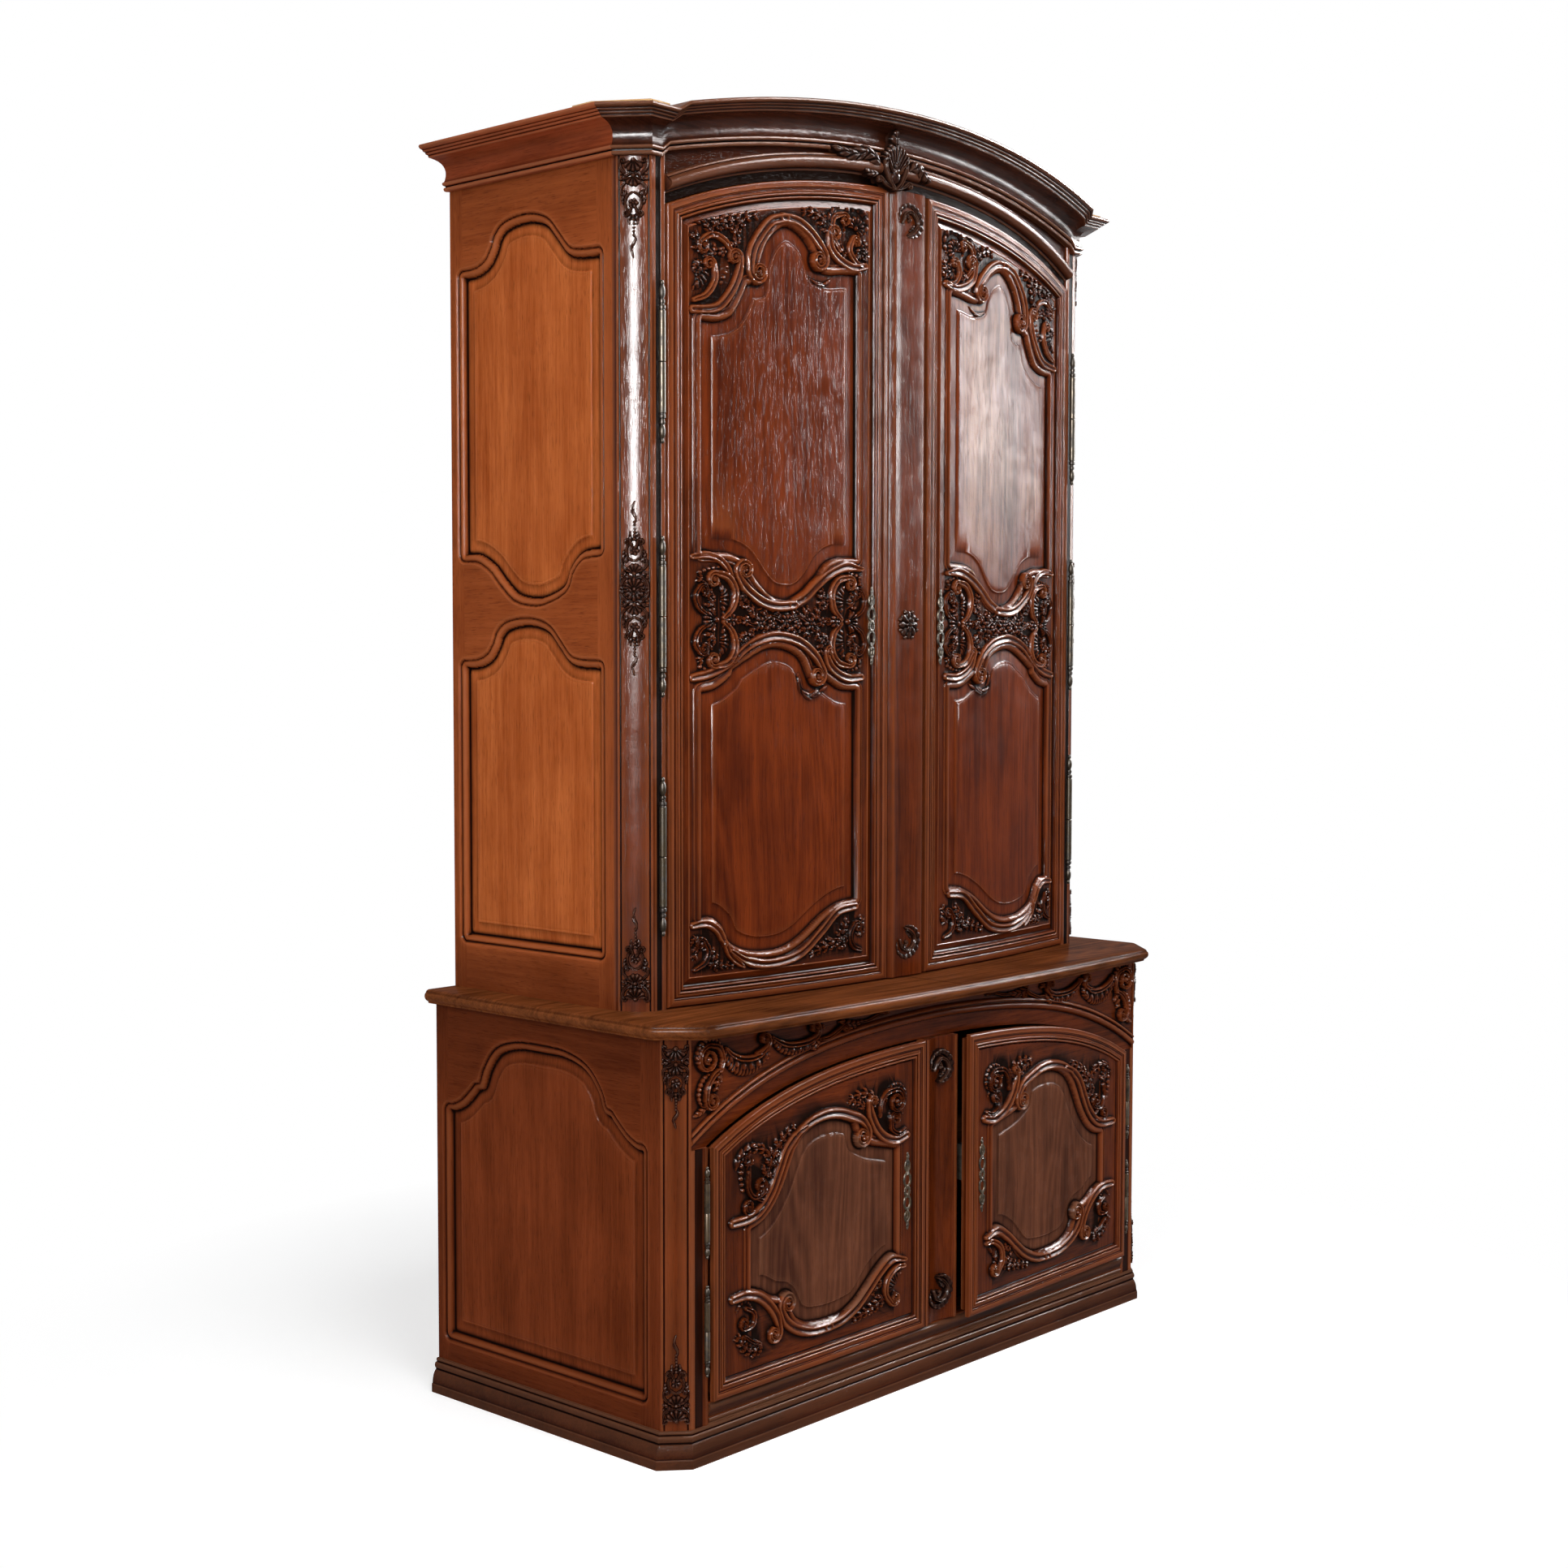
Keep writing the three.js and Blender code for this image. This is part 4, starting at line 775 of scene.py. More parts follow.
top_oak = wood("top_oak", (126, 68, 34), (66, 32, 14), (156, 100, 62), "x", 1.3, 0.36, 0.08, 0.9)
post_oak = wood("post_oak", (70, 34, 21), (38, 17, 10), (116, 78, 58), gloss=0.36, coat=0.24)
seam_black = wood("seam_black", (30, 17, 11), (20, 11, 7), (44, 26, 17), "y", 0.0, 0.6, 0.0)
inner_oak = wood("inner_oak", (134, 84, 48), (92, 52, 28), (150, 100, 60), "x", 0.4, 0.6, 0.0)
raw_wood = wood("raw_wood", (214, 170, 118), (176, 128, 82), (220, 184, 136), "x", 0.9, 0.7, 0.0)
back_wood = wood("back_wood", (190, 142, 94), (148, 102, 62), (200, 158, 112), "z", 0.6, 0.7, 0.0)
steel = metal("steel", (56, 46, 32), (26, 20, 13))
brass = metal("brass", (74, 60, 44), (34, 27, 20))
lock_iron = metal("lock_iron", (70, 64, 56), (46, 40, 33), 0.45)


# The fixed pieces: plinth, posts, boards, top and cornice
CARCASS = "carcass"


def both_ways(points):
    """The points of the left half, and then the right half's."""
    left = np.asarray(points, float)
    return np.vstack([left, (left * [-1, 1])[::-1]])


def plinth():
    low, height = corners("plinth")[0], PLINTH_TOP
    reach_x, reach_y = PLINTH_HALF - LOWER_HALF, LOWER_FRONT
    near = both_ways([[-LOWER_HALF, BACK], [-LOWER_HALF, LOWER_SIDE_FRONT], [-LOWER_EDGE_X, LOWER_FRONT]])
    far = both_ways([
        [-PLINTH_HALF, BACK], [-PLINTH_HALF, LOWER_SIDE_FRONT - reach_y / 2],
        [-LOWER_EDGE_X - reach_x / 2, low[1]],
    ])
    profile = [
        (0, 0), (0.97, 0), (1, 0.03), (1, 0.22), (0.97, 0.26), (0.9, 0.28), (0.88, 0.32), (0.84, 0.42),
        (0.74, 0.53), (0.6, 0.61), (0.48, 0.65), (0.42, 0.66), (0.42, 0.7), (0.5, 0.72), (0.57, 0.76),
        (0.58, 0.81), (0.52, 0.86), (0.42, 0.88), (0.3, 0.885), (0.3, 0.91), (0.35, 0.93), (0.36, 0.96),
        (0.3, 0.99), (0.22, 1), (0, 1),
    ]
    rings = []
    for start, end in zip(near, far):
        rings.append([[*(start + (end - start) * d), height * h] for d, h in profile])
    points, faces = loft(rings)
    patina = np.tile(rub_and_shade([(d * reach_x, h * height) for d, h in profile]), len(rings))
    build("plinth_moulding", points, faces, CARCASS, plinth_oak, "oak", patina, replaces=["plinth"])


def along_cant(corner, edge, profile):
    """Points over a canted face: shares of its width, and mm outwards."""
    corner, edge = np.array(corner, float), np.array(edge, float)
    way = (edge - corner) / np.hypot(*(edge - corner))
    out = np.array([way[1], -way[0]])
    return [tuple(corner + (edge - corner) * s + out * h) for s, h in profile]


def lower_posts():
    inner = LOWER_STRIP_INNER
    back = corners("lower_corner_post_left")[1][1]
    across = [
        (0, 0), (0.015, 1.2), (0.05, 2), (0.085, 1.2), (0.1, -0.6), (0.13, -0.8), (0.16, 0.4), (0.5, 1.6),
        (0.84, 0.4), (0.87, -0.8), (0.9, -0.6), (0.915, 1.2), (0.95, 2), (0.985, 1.2), (1, 0),
    ]
    front = LOWER_FRONT
    core = front + 7
    plan = [
        *along_cant((-LOWER_HALF, LOWER_SIDE_FRONT), (-LOWER_EDGE_X, front), across),
        (-LOWER_EDGE_X, core), (-inner, core),
        (-inner, back), (-LOWER_HALF + DOOR_THICK, back), (-LOWER_HALF + DOOR_THICK, LOWER_SIDE_FRONT),
    ]
    left = standing(
        "lower_post_left", plan, 0, COUNTER_UNDER, CARCASS, dark_oak, "dark_oak",
        replaces=["lower_corner_post_left"], sharp=24,
    )
    mirrored(left, "lower_post_right", CARCASS, replaces=["lower_corner_post_right"])
    strip = [
        (-LOWER_EDGE_X, front), (-LOWER_EDGE_X + 9, front), (-LOWER_EDGE_X + 11, front + 1.5),
        (-inner - 14, front + 1.5),
        (-inner - 12, front), (-inner - 10, front - 1), (-inner - 8, front - 2), (-inner - 5, front - 2.3),
        (-inner - 2, front - 1.6), (-inner, front), (-inner, core), (-LOWER_EDGE_X, core),
    ]
    left = standing(
        "lower_post_strip_left", strip, 0, lower_top(inner) + 1.5, CARCASS, dark_oak, "dark_oak", sharp=24,
    )
    mirrored(left, "lower_post_strip_right", CARCASS)


def bottom_rail_beads():
    inner = LOWER_STRIP_INNER - 1
    profile = [
        (PLINTH_TOP - 2, -8), (PLINTH_TOP - 2, 1), (PLINTH_TOP + 3, 1), *bead(PLINTH_TOP + 8, 4.5, 4),
        (PLINTH_TOP + 15, 0.5), (PLINTH_TOP + 22, 2.2), (PLINTH_TOP + 28, 5), (PLINTH_TOP + 31, 6),
        (PLINTH_TOP + 35, 6), (PLINTH_TOP + 38, 4.5), (FLOOR_TOP - 3, 0.5), (FLOOR_TOP - 3, -8),
    ]
    path = [((x, 0.0), (0.0, 1.0)) for x in (-inner, 0, inner)]
    sweep(
        "bottom_rail_moulding", path, profile, flat(LOWER_FRONT), CARCASS, plinth_oak, "oak",
    )


def countertop():
    half, cant_x = COUNTER_HIGH[0], 741.9
    corner_y, front_y, cant_y = -31.0, COUNTER_LOW[1], 51.0
    xs = np.linspace(-cant_x, 0, 20)
    plan = both_ways([
        [-half, BACK], [-half, cant_y + 8], [-half + 3, cant_y - 2], [-cant_x - 7, corner_y + 7],
        *[[x, front_y + (corner_y - front_y) * (x / cant_x) ** 2] for x in xs[:-1]],
    ])
    plan = np.vstack([plan[: len(plan) // 2], [[0, front_y]], plan[len(plan) // 2 :]])
    thick = COUNTER_TOP - COUNTER_UNDER
    profile = [
        (13, 0), (11, 0), (10, 0.04), (9.6, 0.12), (8, 0.16), (5, 0.22), (2.2, 0.32), (0.5, 0.44),
        (0, 0.54),
        (0.4, 0.64), (1.6, 0.73), (3.2, 0.78), (3.8, 0.8), (4.2, 0.86), (6, 0.93), (8.5, 0.97), (11, 1),
    ]
    ways = np.array([way for _, way in mitred(plan)])
    ways *= turning(plan)
    rings = []
    for d, h in profile:
        ring = plan + ways * d
        ring[[0, -1], 1] = BACK
        rings.append(np.column_stack([ring, np.full(len(ring), COUNTER_UNDER + thick * h)]))
    points, faces = loft(rings)
    # Lighter over the middle of the edge, which is wear; painted shade in the small hollow near the top's
    # lip
    shades = [0.1 if 0.3 < h < 0.75 else -0.25 if 0.75 < h < 0.87 else 0.0 for _, h in profile]
    patina = np.repeat(shades, len(plan))
    build("moulded_top", points, faces, CARCASS, top_oak, "oak", patina, replaces=["countertop"])
    seam = [(-1.2, front_y + 16), (1.2, front_y + 16), (1.2, STRIP_Y), (-1.2, STRIP_Y)]
    standing("top_seam", seam, COUNTER_TOP - 2, COUNTER_TOP + 0.15, CARCASS, seam_black, "oak")


def upper_posts():
    back = POST_HIGH[1]
    inner = STRIP_INNER
    across = [
        (0, 0), (0.012, 1.2), (0.04, 2.2), (0.07, 1.4), (0.085, -0.8), (0.11, -1), (0.13, 1), (0.25, 4),
        (0.4, 5.6), (0.5, 6), (0.6, 5.6), (0.75, 4), (0.87, 1), (0.89, -1), (0.915, -0.8), (0.93, 1.4),
        (0.96, 2.2), (0.988, 1.2), (1, 0),
    ]
    strip = [
        (-EDGE_X + 8, STRIP_Y), (-EDGE_X + 9, STRIP_Y + 1.5), (-inner - 11, STRIP_Y + 1.5),
        (-inner - 10, STRIP_Y - 0.5), (-inner - 7, STRIP_Y - 2), (-inner - 4, STRIP_Y - 2.2),
        (-inner - 1, STRIP_Y - 1), (-inner, STRIP_Y + 1),
    ]
    plan = [
        (-CASE_HALF, SIDE_START),
        *along_cant((-CASE_HALF, STRIP_Y + CANT_DEPTH), (-EDGE_X, STRIP_Y), across), *strip,
        (-inner, back), (-CASE_HALF + DOOR_THICK, back), (-CASE_HALF + DOOR_THICK, SIDE_START),
    ]
    left = standing(
        "upper_post_left", plan, COUNTER_TOP, CASE_TOP - 2, CARCASS, polished, "dark_oak",
        replaces=["upper_corner_post_left"], sharp=24,
    )
    mirrored(left, "upper_post_right", CARCASS, replaces=["upper_corner_post_right"])


def upper_frieze():
    half = STRIP_INNER - 0.3
    xs = np.linspace(-half, half, 57)
    rings = []
    for x in xs:
        low, high = upper_top(x) + 1.5, cornice_arch(x) - CORNICE_HEIGHT + 6
        section = [(low, -9), (high, -9), (high, -34), (low, -34)]
        rings.append([bowed()(x, z, h) for z, h in section])
    points, faces = loft(rings)
    # Painted shade on the front board: darkest along its foot under the arch moulding, darker all over
    patina = np.tile([-0.75, -0.3, -0.3, -0.75], len(rings))
    build("front_board", points, faces, CARCASS, dark_rail, "dark_oak", patina, replaces=["upper_frieze"])
    profile = [
        (20, -12), (20, -7), (22, -5), (24, -4), (25, 1), (26, 7), (28, 11), (32, 14.5), (37, 16),
        (42, 15), (46, 12), (48.5, 8), (49, 4.5), (51, 5), (53.5, 4), (55, 1), (56, -4), (57, -12),
    ]
    path = [((x, upper_top(x)), (0.0, 1.0)) for x in xs]
    sweep("arch_moulding", path, profile, bowed(), CARCASS, polished_rail, "dark_oak")


def cornice_stations():
    """(near, far, foot) of each station along the cornice, the left end first."""
    reach = CASE_HALF - CORNICE_LOW[0] - 2 * CASE_HALF
    block = reach * 0.74
    corner = EDGE_X + reach * 0.697
    foot = CASE_TOP - CORNICE_HEIGHT
    side_y = STRIP_Y + CANT_DEPTH
    left = [
        ((-CASE_HALF, BACK), (-CASE_HALF - reach, BACK), foot),
        ((-CASE_HALF, side_y), (-CASE_HALF - reach, side_y - reach * 0.35), foot),
        ((-EDGE_X, STRIP_Y), (-corner, STRIP_Y - block), foot),
        ((-STRIP_INNER - 16.5, STRIP_Y), (-STRIP_INNER - 16.5, STRIP_Y - block), foot),
    ]
    def arched(x):
        face = bow(x) + 6
        return ((x, face), (x, face - reach + 3), cornice_arch(x) - CORNICE_HEIGHT)
    left.append(arched(-STRIP_INNER))
    left += [arched(x) for x in np.linspace(-STRIP_INNER, 0, 27)[1:]]
    right = [((-n[0], n[1]), (-f[0], f[1]), foot) for n, f, foot in reversed(left[:-1])]
    return left + right


CORNICE_PROFILE = [
    (-0.06, 0.02), (0.1, 0.0), (0.15, 0.0), (0.19, 0.015), (0.205, 0.05), (0.19, 0.085), (0.14, 0.1),
    (0.14, 0.125), (0.22, 0.135), (0.25, 0.165), (0.24, 0.2), (0.19, 0.225), (0.175, 0.24), (0.15, 0.3),
    (0.13, 0.37), (0.125, 0.43), (0.13, 0.48), (0.155, 0.54), (0.2, 0.6), (0.27, 0.65), (0.37, 0.69),
    (0.49, 0.715), (0.61, 0.73), (0.68, 0.735), (0.69, 0.755), (0.7, 0.785), (0.75, 0.79), (0.78, 0.805),
    (0.79, 0.835), (0.84, 0.845), (0.87, 0.86), (0.88, 0.885), (0.93, 0.895), (0.975, 0.915), (1, 0.945),
    (0.995, 0.975), (0.97, 1.0), (-0.06, 1.0),
]


def cornice():
    stations = cornice_stations()
    parts = [
        ("cornice_left_return", stations[:2], side_cornice, []),
        ("cornice_moulding", stations[1:-1], polished_rail, ["cornice"]),
        ("cornice_right_return", stations[-2:], side_cornice, []),
    ]
    for name, part, material, nodes in parts:
        rings = []
        for near, far, foot in part:
            near, far = np.array(near), np.array(far)
            rings.append([
                [*(near + (far - near) * d), foot + CORNICE_HEIGHT * h] for d, h in CORNICE_PROFILE
            ])
        points, faces = loft(rings)
        patina = np.tile(rub_and_shade([(d * 80, h * 84) for d, h in CORNICE_PROFILE]), len(rings))
        build(name, points, faces, CARCASS, material, "dark_oak", patina, replaces=nodes, sharp=26)


def roof():
    """The raw boards behind the cornice, thin where they show above its corners."""
    reach = -CASE_HALF - CORNICE_LOW[0]
    side, tab = CASE_HALF + reach - 59, CASE_HALF + reach - 18
    tab_front = STRIP_Y - reach * 0.74 + 18
    rear = SIDE_START + 43
    left = [
        (-side, BACK), (-side, rear), (-tab, rear), (-tab, STRIP_Y + CANT_DEPTH),
        (-STRIP_INNER - 33 - reach * 0.55, tab_front), (-STRIP_INNER - 26, tab_front),
        (-STRIP_INNER - 26, bow(STRIP_INNER) + 45),
    ]
    front = [(x, bow(x) + 45) for x in np.linspace(-STRIP_INNER + 20, 0, 12)]
    plan = np.vstack([left, front, (np.array(front) * [-1, 1])[-2::-1], (np.array(left) * [-1, 1])[::-1]])
    standing(
        "roof_boards", [tuple(p) for p in plan], CASE_TOP, CASE_TOP + 8, CARCASS, raw_wood, "raw_wood",
        replaces=["roof_board"],
    )


# Outlines of the panels
def shaped(sill, crest):
    """An opening: its sill from left to right and its crest from right to left."""
    return joined(*sill, [sill[-1][-1], crest[0][0]], *crest, [crest[-1][-1], sill[0][0]])


UPPER_TOP_PANEL = shaped(
    [[(-575, 1740), (-530, 1740), (-500, 1737), (-467, 1722), (-430, 1681), (-397, 1657), (-359, 1650),
      (-322, 1657), (-289, 1681), (-255, 1722), (-222, 1737), (-190, 1740), (-160, 1740)]],
    [[(-160, 2318), (-200, 2315), (-243, 2309), (-275, 2314)],
     [(-275, 2314), (-288, 2345), (-318, 2377), (-362, 2390), (-405, 2360), (-428, 2312), (-432, 2268)],
     [(-432, 2268), (-448, 2267), (-463, 2262)],
     [(-463, 2262), (-476, 2236), (-500, 2201), (-535, 2186), (-575, 2183)]],
)
UPPER_LOW_PANEL = shaped(
    [[(-575, 1022), (-548, 1019), (-525, 1002)],
     [(-525, 1002), (-503, 966), (-455, 946), (-401, 942), (-359, 948), (-318, 966), (-260, 1003),
      (-210, 1024), (-160, 1030)]],
    [[(-160, 1462), (-205, 1466), (-247, 1486), (-270, 1494), (-297, 1488)],
     [(-297, 1488), (-318, 1525), (-347, 1543), (-384, 1550), (-417, 1546), (-459, 1527), (-498, 1506)],
     [(-498, 1506), (-505, 1492), (-540, 1470), (-575, 1462)]],
)
LOWER_PANEL = shaped(
    [[(-590, 308), (-560, 302), (-530, 285), (-495, 275)],
     [(-495, 275), (-480, 262), (-462, 230), (-435, 212), (-400, 205), (-360, 203), (-319, 206),
      (-280, 214), (-250, 238), (-226, 262), (-190, 284), (-153, 292)]],
    [[(-153, 512), (-195, 522), (-240, 534), (-278, 552)],
     [(-278, 552), (-291, 585), (-319, 598), (-355, 603), (-398, 600), (-437, 585), (-463, 560)],
     [(-463, 560), (-480, 528), (-500, 492), (-530, 455), (-560, 434), (-590, 425)]],
)


def side_crest(start, end, shoulder, rise):
    """The crest of a side panel, from the back to the front."""
    shares = [
        [(1, 0), (0.92, 0.01), (0.86, 0.07), (0.8, 0.22), (0.75, 0.5)], [(0.75, 0.5), (0.73, 0.72)],
        [(0.73, 0.72), (0.69, 0.88), (0.62, 0.97), (0.53, 1), (0.45, 0.96), (0.37, 0.82), (0.3, 0.5),
         (0.22, 0.14), (0.13, 0.03), (0, 0)],
    ]
    return [[(start + u * (end - start), shoulder + v * rise) for u, v in run] for run in shares]


SIDE_FROM = SIDE_START + 43
SIDE_TO = BACK - 38
LOWER_SIDE_FROM = LOWER_SIDE_FRONT + 53
SIDE_TOP_PANEL = shaped(
    [[(SIDE_FROM, 1743), (319, 1739), (345, 1724), (362, 1704)],
     [(362, 1704), (380, 1672), (435, 1652), (472, 1650), (516, 1659), (552, 1685), (588, 1718),
      (632, 1740), (SIDE_TO, 1743)]],
    side_crest(SIDE_FROM, SIDE_TO, 2303, 90),
)
SIDE_LOW_PANEL = shaped(
    [[(SIDE_FROM, 958), (SIDE_TO, 958)]], side_crest(SIDE_FROM, SIDE_TO, 1510, 85),
)
LOWER_SIDE_PANEL = shaped(
    [[(LOWER_SIDE_FROM, 130), (SIDE_TO, 130)]],
    [[(SIDE_TO, 595), (660, 597), (631, 610), (600, 636), (588, 648)],
     [(588, 648), (572, 653), (565, 662)],
     [(565, 662), (551, 694), (520, 730), (466, 747), (394, 750), (323, 747), (267, 729), (232, 694),
      (218, 662)],
     [(218, 662), (211, 653), (195, 648)],
     [(195, 648), (183, 636), (152, 610), (125, 597), (LOWER_SIDE_FROM, 595)]],
)

# Heights across a panel's edge: mm from the opening's line, outwards, and mm from the face
DOOR_EDGE = np.array([
    (-34, -8.5), (-31.5, -8.5), (-30, -9.3), (-28.5, -8.4), (-27.5, -9), (-26.5, -11), (-24, -11.6),
    (-3, -12.5), (0, -12.5), (1, -9), (3, -6), (6, -2.5), (10, -1.5), (13, -2.8), (15, -4.4),
    (17, -5.5), (18, -4.6),
    (19.5, -3.6), (21, -5), (22, -7), (26, -7),
])
SIDE_EDGE = np.array([
    (-36, -9), (-33, -9), (-31.5, -10), (-30, -9), (-27, -9.2), (-25.5, -11.4), (-22, -12), (-4, -13),
    (0, -13), (1, -9),
    (3, -6), (6, -3.2), (9, -2.2), (12, -3.2), (14, -4.6), (16, -3), (18, -0.8), (19.5, 0.6), (21, 0.8),
    (22.5, 0), (26, 0),
])


def edge_heights(edge, distance):
    return np.interp(distance, edge[:, 0], edge[:, 1])


def cell_values(values):
    return (values[:-1, :-1] + values[1:, :-1] + values[:-1, 1:] + values[1:, 1:]) / 4


# The sides of both cases
def side(prefix, names, outer, start, low, high, bands, panels, joints, woods):
    """A framed side: names are the CAD nodes of the frame and the panels, and woods has one for
    the stiles, one for the rails and one for the panels."""
    ys = lines(start, BACK, [(start + 20, BACK - 12)], step=FINE * 1.4)
    zs = lines(low, high, bands, step=FINE * 1.4)
    relief = Relief(ys, zs)
    distance = np.minimum.reduce([signed(panel, relief.x, relief.z, EDGE_REACH) for panel in panels])
    relief.h = edge_heights(SIDE_EDGE, distance)
    # Painted shade: the frame is darker towards the top and the bottom of the side
    ends = np.minimum(relief.z - low, high - relief.z)
    relief.painted_shade = np.where(distance > 0, 0.24 * np.clip(1 - ends / 220, 0, 1), 0.0)
    middle = cell_values(distance)
    y_cell, z_cell = cell_values(relief.x), cell_values(relief.z)
    stiles = (y_cell < joints[0]) | (y_cell > joints[1])
    parts = [
        (f"{prefix}_stiles", (middle > 0) & stiles, -DOOR_THICK, woods[0], [names[0]]),
        (f"{prefix}_rails", (middle > 0) & ~stiles, -DOOR_THICK, woods[1], []),
    ]
    for k, panel in enumerate(panels):
        near = (z_cell > panel[:, 1].min() - 5) & (z_cell < panel[:, 1].max() + 5)
        cells = (middle <= 0) & near
        parts.append((f"{prefix}_panel_{k + 1}", cells, -PANEL_BACK, woods[2], [names[k + 1]]))
    for name, cells, back, material, nodes in parts:
        left = relief.solid(
            f"{name}_left", beside(outer), back, CARCASS, material, "side_oak", cells, 0.0,
            thin=KEPT_FACES, replaces=[f"{node}_left" for node in nodes],
        )
        mirrored(left, f"{name}_right", CARCASS, replaces=[f"{node}_right" for node in nodes])


def sides():
    side(
        "upper_side", ["upper_side_frame", "upper_side_top_panel", "upper_side_low_panel"], -CASE_HALF,
        SIDE_START, COUNTER_TOP, CASE_TOP - 2, [(925, 995), (1480, 1785), (2265, 2420)],
        [SIDE_TOP_PANEL, SIDE_LOW_PANEL], (SIDE_FROM, SIDE_TO), (side_oak, side_rail, side_panel),
    )
    side(
        "lower_side", ["lower_side_frame", "lower_side_panel"], -LOWER_HALF,
        LOWER_SIDE_FRONT, 0.0, COUNTER_UNDER, [(98, 168), (560, 780)],
        [LOWER_SIDE_PANEL], (LOWER_SIDE_FROM, SIDE_TO), (low_side_oak, low_side_rail, low_side_panel),
    )


# Doors
RIM = [
    (9, -30), (8, -13), (0.5, -12.5), (0, -12), (0, -4), (0.8, -1.4), (2.2, -0.2), (3.5, 0), (12, 0),
    (12.6, -1.5), (14.5, -1.8),
    (15.2, -2.4), (22, -2.2), (22.8, -3.2), *bead(25.8, 2.6, 0.2), (29, -3.6), (30.6, -4), (31.2, -3.2),
    *bead(33.4, 2, -0.8), (36, -4.5), (37.5, -8.5), (39.5, -10), (43, -9.6), (47, -8.2), (51, -6.8),
    (53, -5.9), (54.5, -6.6), (55, -12), (55, -30),
]
LOWER_RIM = [
    (11, -30), (10, -12), (0.5, -11.5), (0, -11), (0, -4), (0.8, -1.4), (2.2, -0.2), (3.5, 0), (11, 0),
    (11.6, -1.5),
    (13.5, -1.8), (14, -2.6), (20, -2.2), (21, -3.4), *bead(23.6, 2.4, 0), (26.6, -4), (28, -4.4),
    *bead(30.6, 2.2, -1), (33.4, -5), (35, -8.2), (37, -9.4), (40, -7.4), (41, -7.2), (41, -30),
]


def rim(name, outline_runs, profile, place, body, replaces):
    """The moulded border of a door, in four mitred runs."""
    outline = np.vstack([run[:-1] for run in outline_runs])
    stations = mitred(outline)
    stations.append(stations[0])
    start = 0
    for word, run in zip(("bottom", "inner", "top", "outer"), outline_runs):
        path = stations[start : start + len(run)]
        start += len(run) - 1
        material = dark_rail if word in ("bottom", "top") else dark_oak
        sweep(
            f"{name}_{word}_border", path, profile, place, body, material, "dark_oak",
            replaces=replaces if word == "bottom" else (),
        )


def door_runs(outer, inner, low, top, step=30, corner=60):
    """The outline of a left door: bottom, inner side, arched top and outer side. The runs have no
    stations inside the mitred corners."""
    middle = np.linspace(inner - corner, outer + corner, max(2, round((inner - outer) / step)) - 3)
    xs = np.concatenate([[inner], middle, [outer]])
    zs_in = np.linspace(low, top(inner), 3)
    zs_out = np.linspace(top(outer), low, 3)
    return [
        np.column_stack([xs[::-1], np.full(len(xs), low)]),
        np.column_stack([np.full(3, inner), zs_in]),
        np.column_stack([xs, top(xs)]),
        np.column_stack([np.full(3, outer), zs_out]),
    ]


DOOR_OUTER = DOOR_LOW[0]
DOOR_INNER = DOOR_HIGH[0]
DOOR_BOTTOM = DOOR_LOW[2]
LOWER_DOOR_OUTER = LOWER_DOOR_LOW[0]
LOWER_DOOR_INNER = LOWER_DOOR_HIGH[0]
LOWER_DOOR_BOTTOM = LOWER_DOOR_LOW[2]


def upper_door():
    body = "upper_left_door"
    inset = 53
    runs = door_runs(DOOR_OUTER, DOOR_INNER, DOOR_BOTTOM, upper_top)
    rim("upper_left_door", runs, RIM, bowed(), body, ["upper_left_door_frame"])
    xs = lines(DOOR_OUTER + inset, DOOR_INNER - inset, [(DOOR_OUTER, DOOR_INNER)], [-575, -160])
    top = upper_top(xs.max()) - inset + 8
    zs = lines(DOOR_BOTTOM + inset, top, [(896, 1060), (1420, 1765), (2145, 2480)])
    relief = Relief(xs, zs, -7.0)
    panels = [UPPER_TOP_PANEL, UPPER_LOW_PANEL]
    distance = np.minimum.reduce([signed(panel, relief.x, relief.z, EDGE_REACH) for panel in panels])
    relief.h = edge_heights(DOOR_EDGE, distance)
    carve_upper_door(relief)
    # Painted shade over the finer carving
    relief.painted_shade = 0.38 * blurred((relief.carved & ~relief.plain).astype(float), 1)
    middle = cell_values(distance)
    x_cell, z_cell = cell_values(relief.x), cell_values(relief.z)
    within = z_cell < upper_top(x_cell) - inset + 2
    stiles = (x_cell < -575) | (x_cell > -160)
    frame_cells = (middle > 0) & within
    high = z_cell > 1600
    parts = [
        ("stiles", frame_cells & stiles, -DOOR_THICK, dark_oak, "dark_oak", []),
        ("rails", frame_cells & ~stiles, -DOOR_THICK, dark_rail, "dark_oak", []),
        ("top_panel", (middle <= 0) & high, -PANEL_BACK, panel_oak, "panel_oak", ["top_panel"]),
        ("low_panel", (middle <= 0) & ~high, -PANEL_BACK, panel_oak, "panel_oak", ["low_panel"]),
    ]
    for word, cells, back, material, slot, nodes in parts:
        relief.solid(
            f"upper_left_{word}", bowed(), back, body, material, slot, cells, thin=KEPT_FACES,
            replaces=[f"upper_left_door_{node}" for node in nodes],
        )


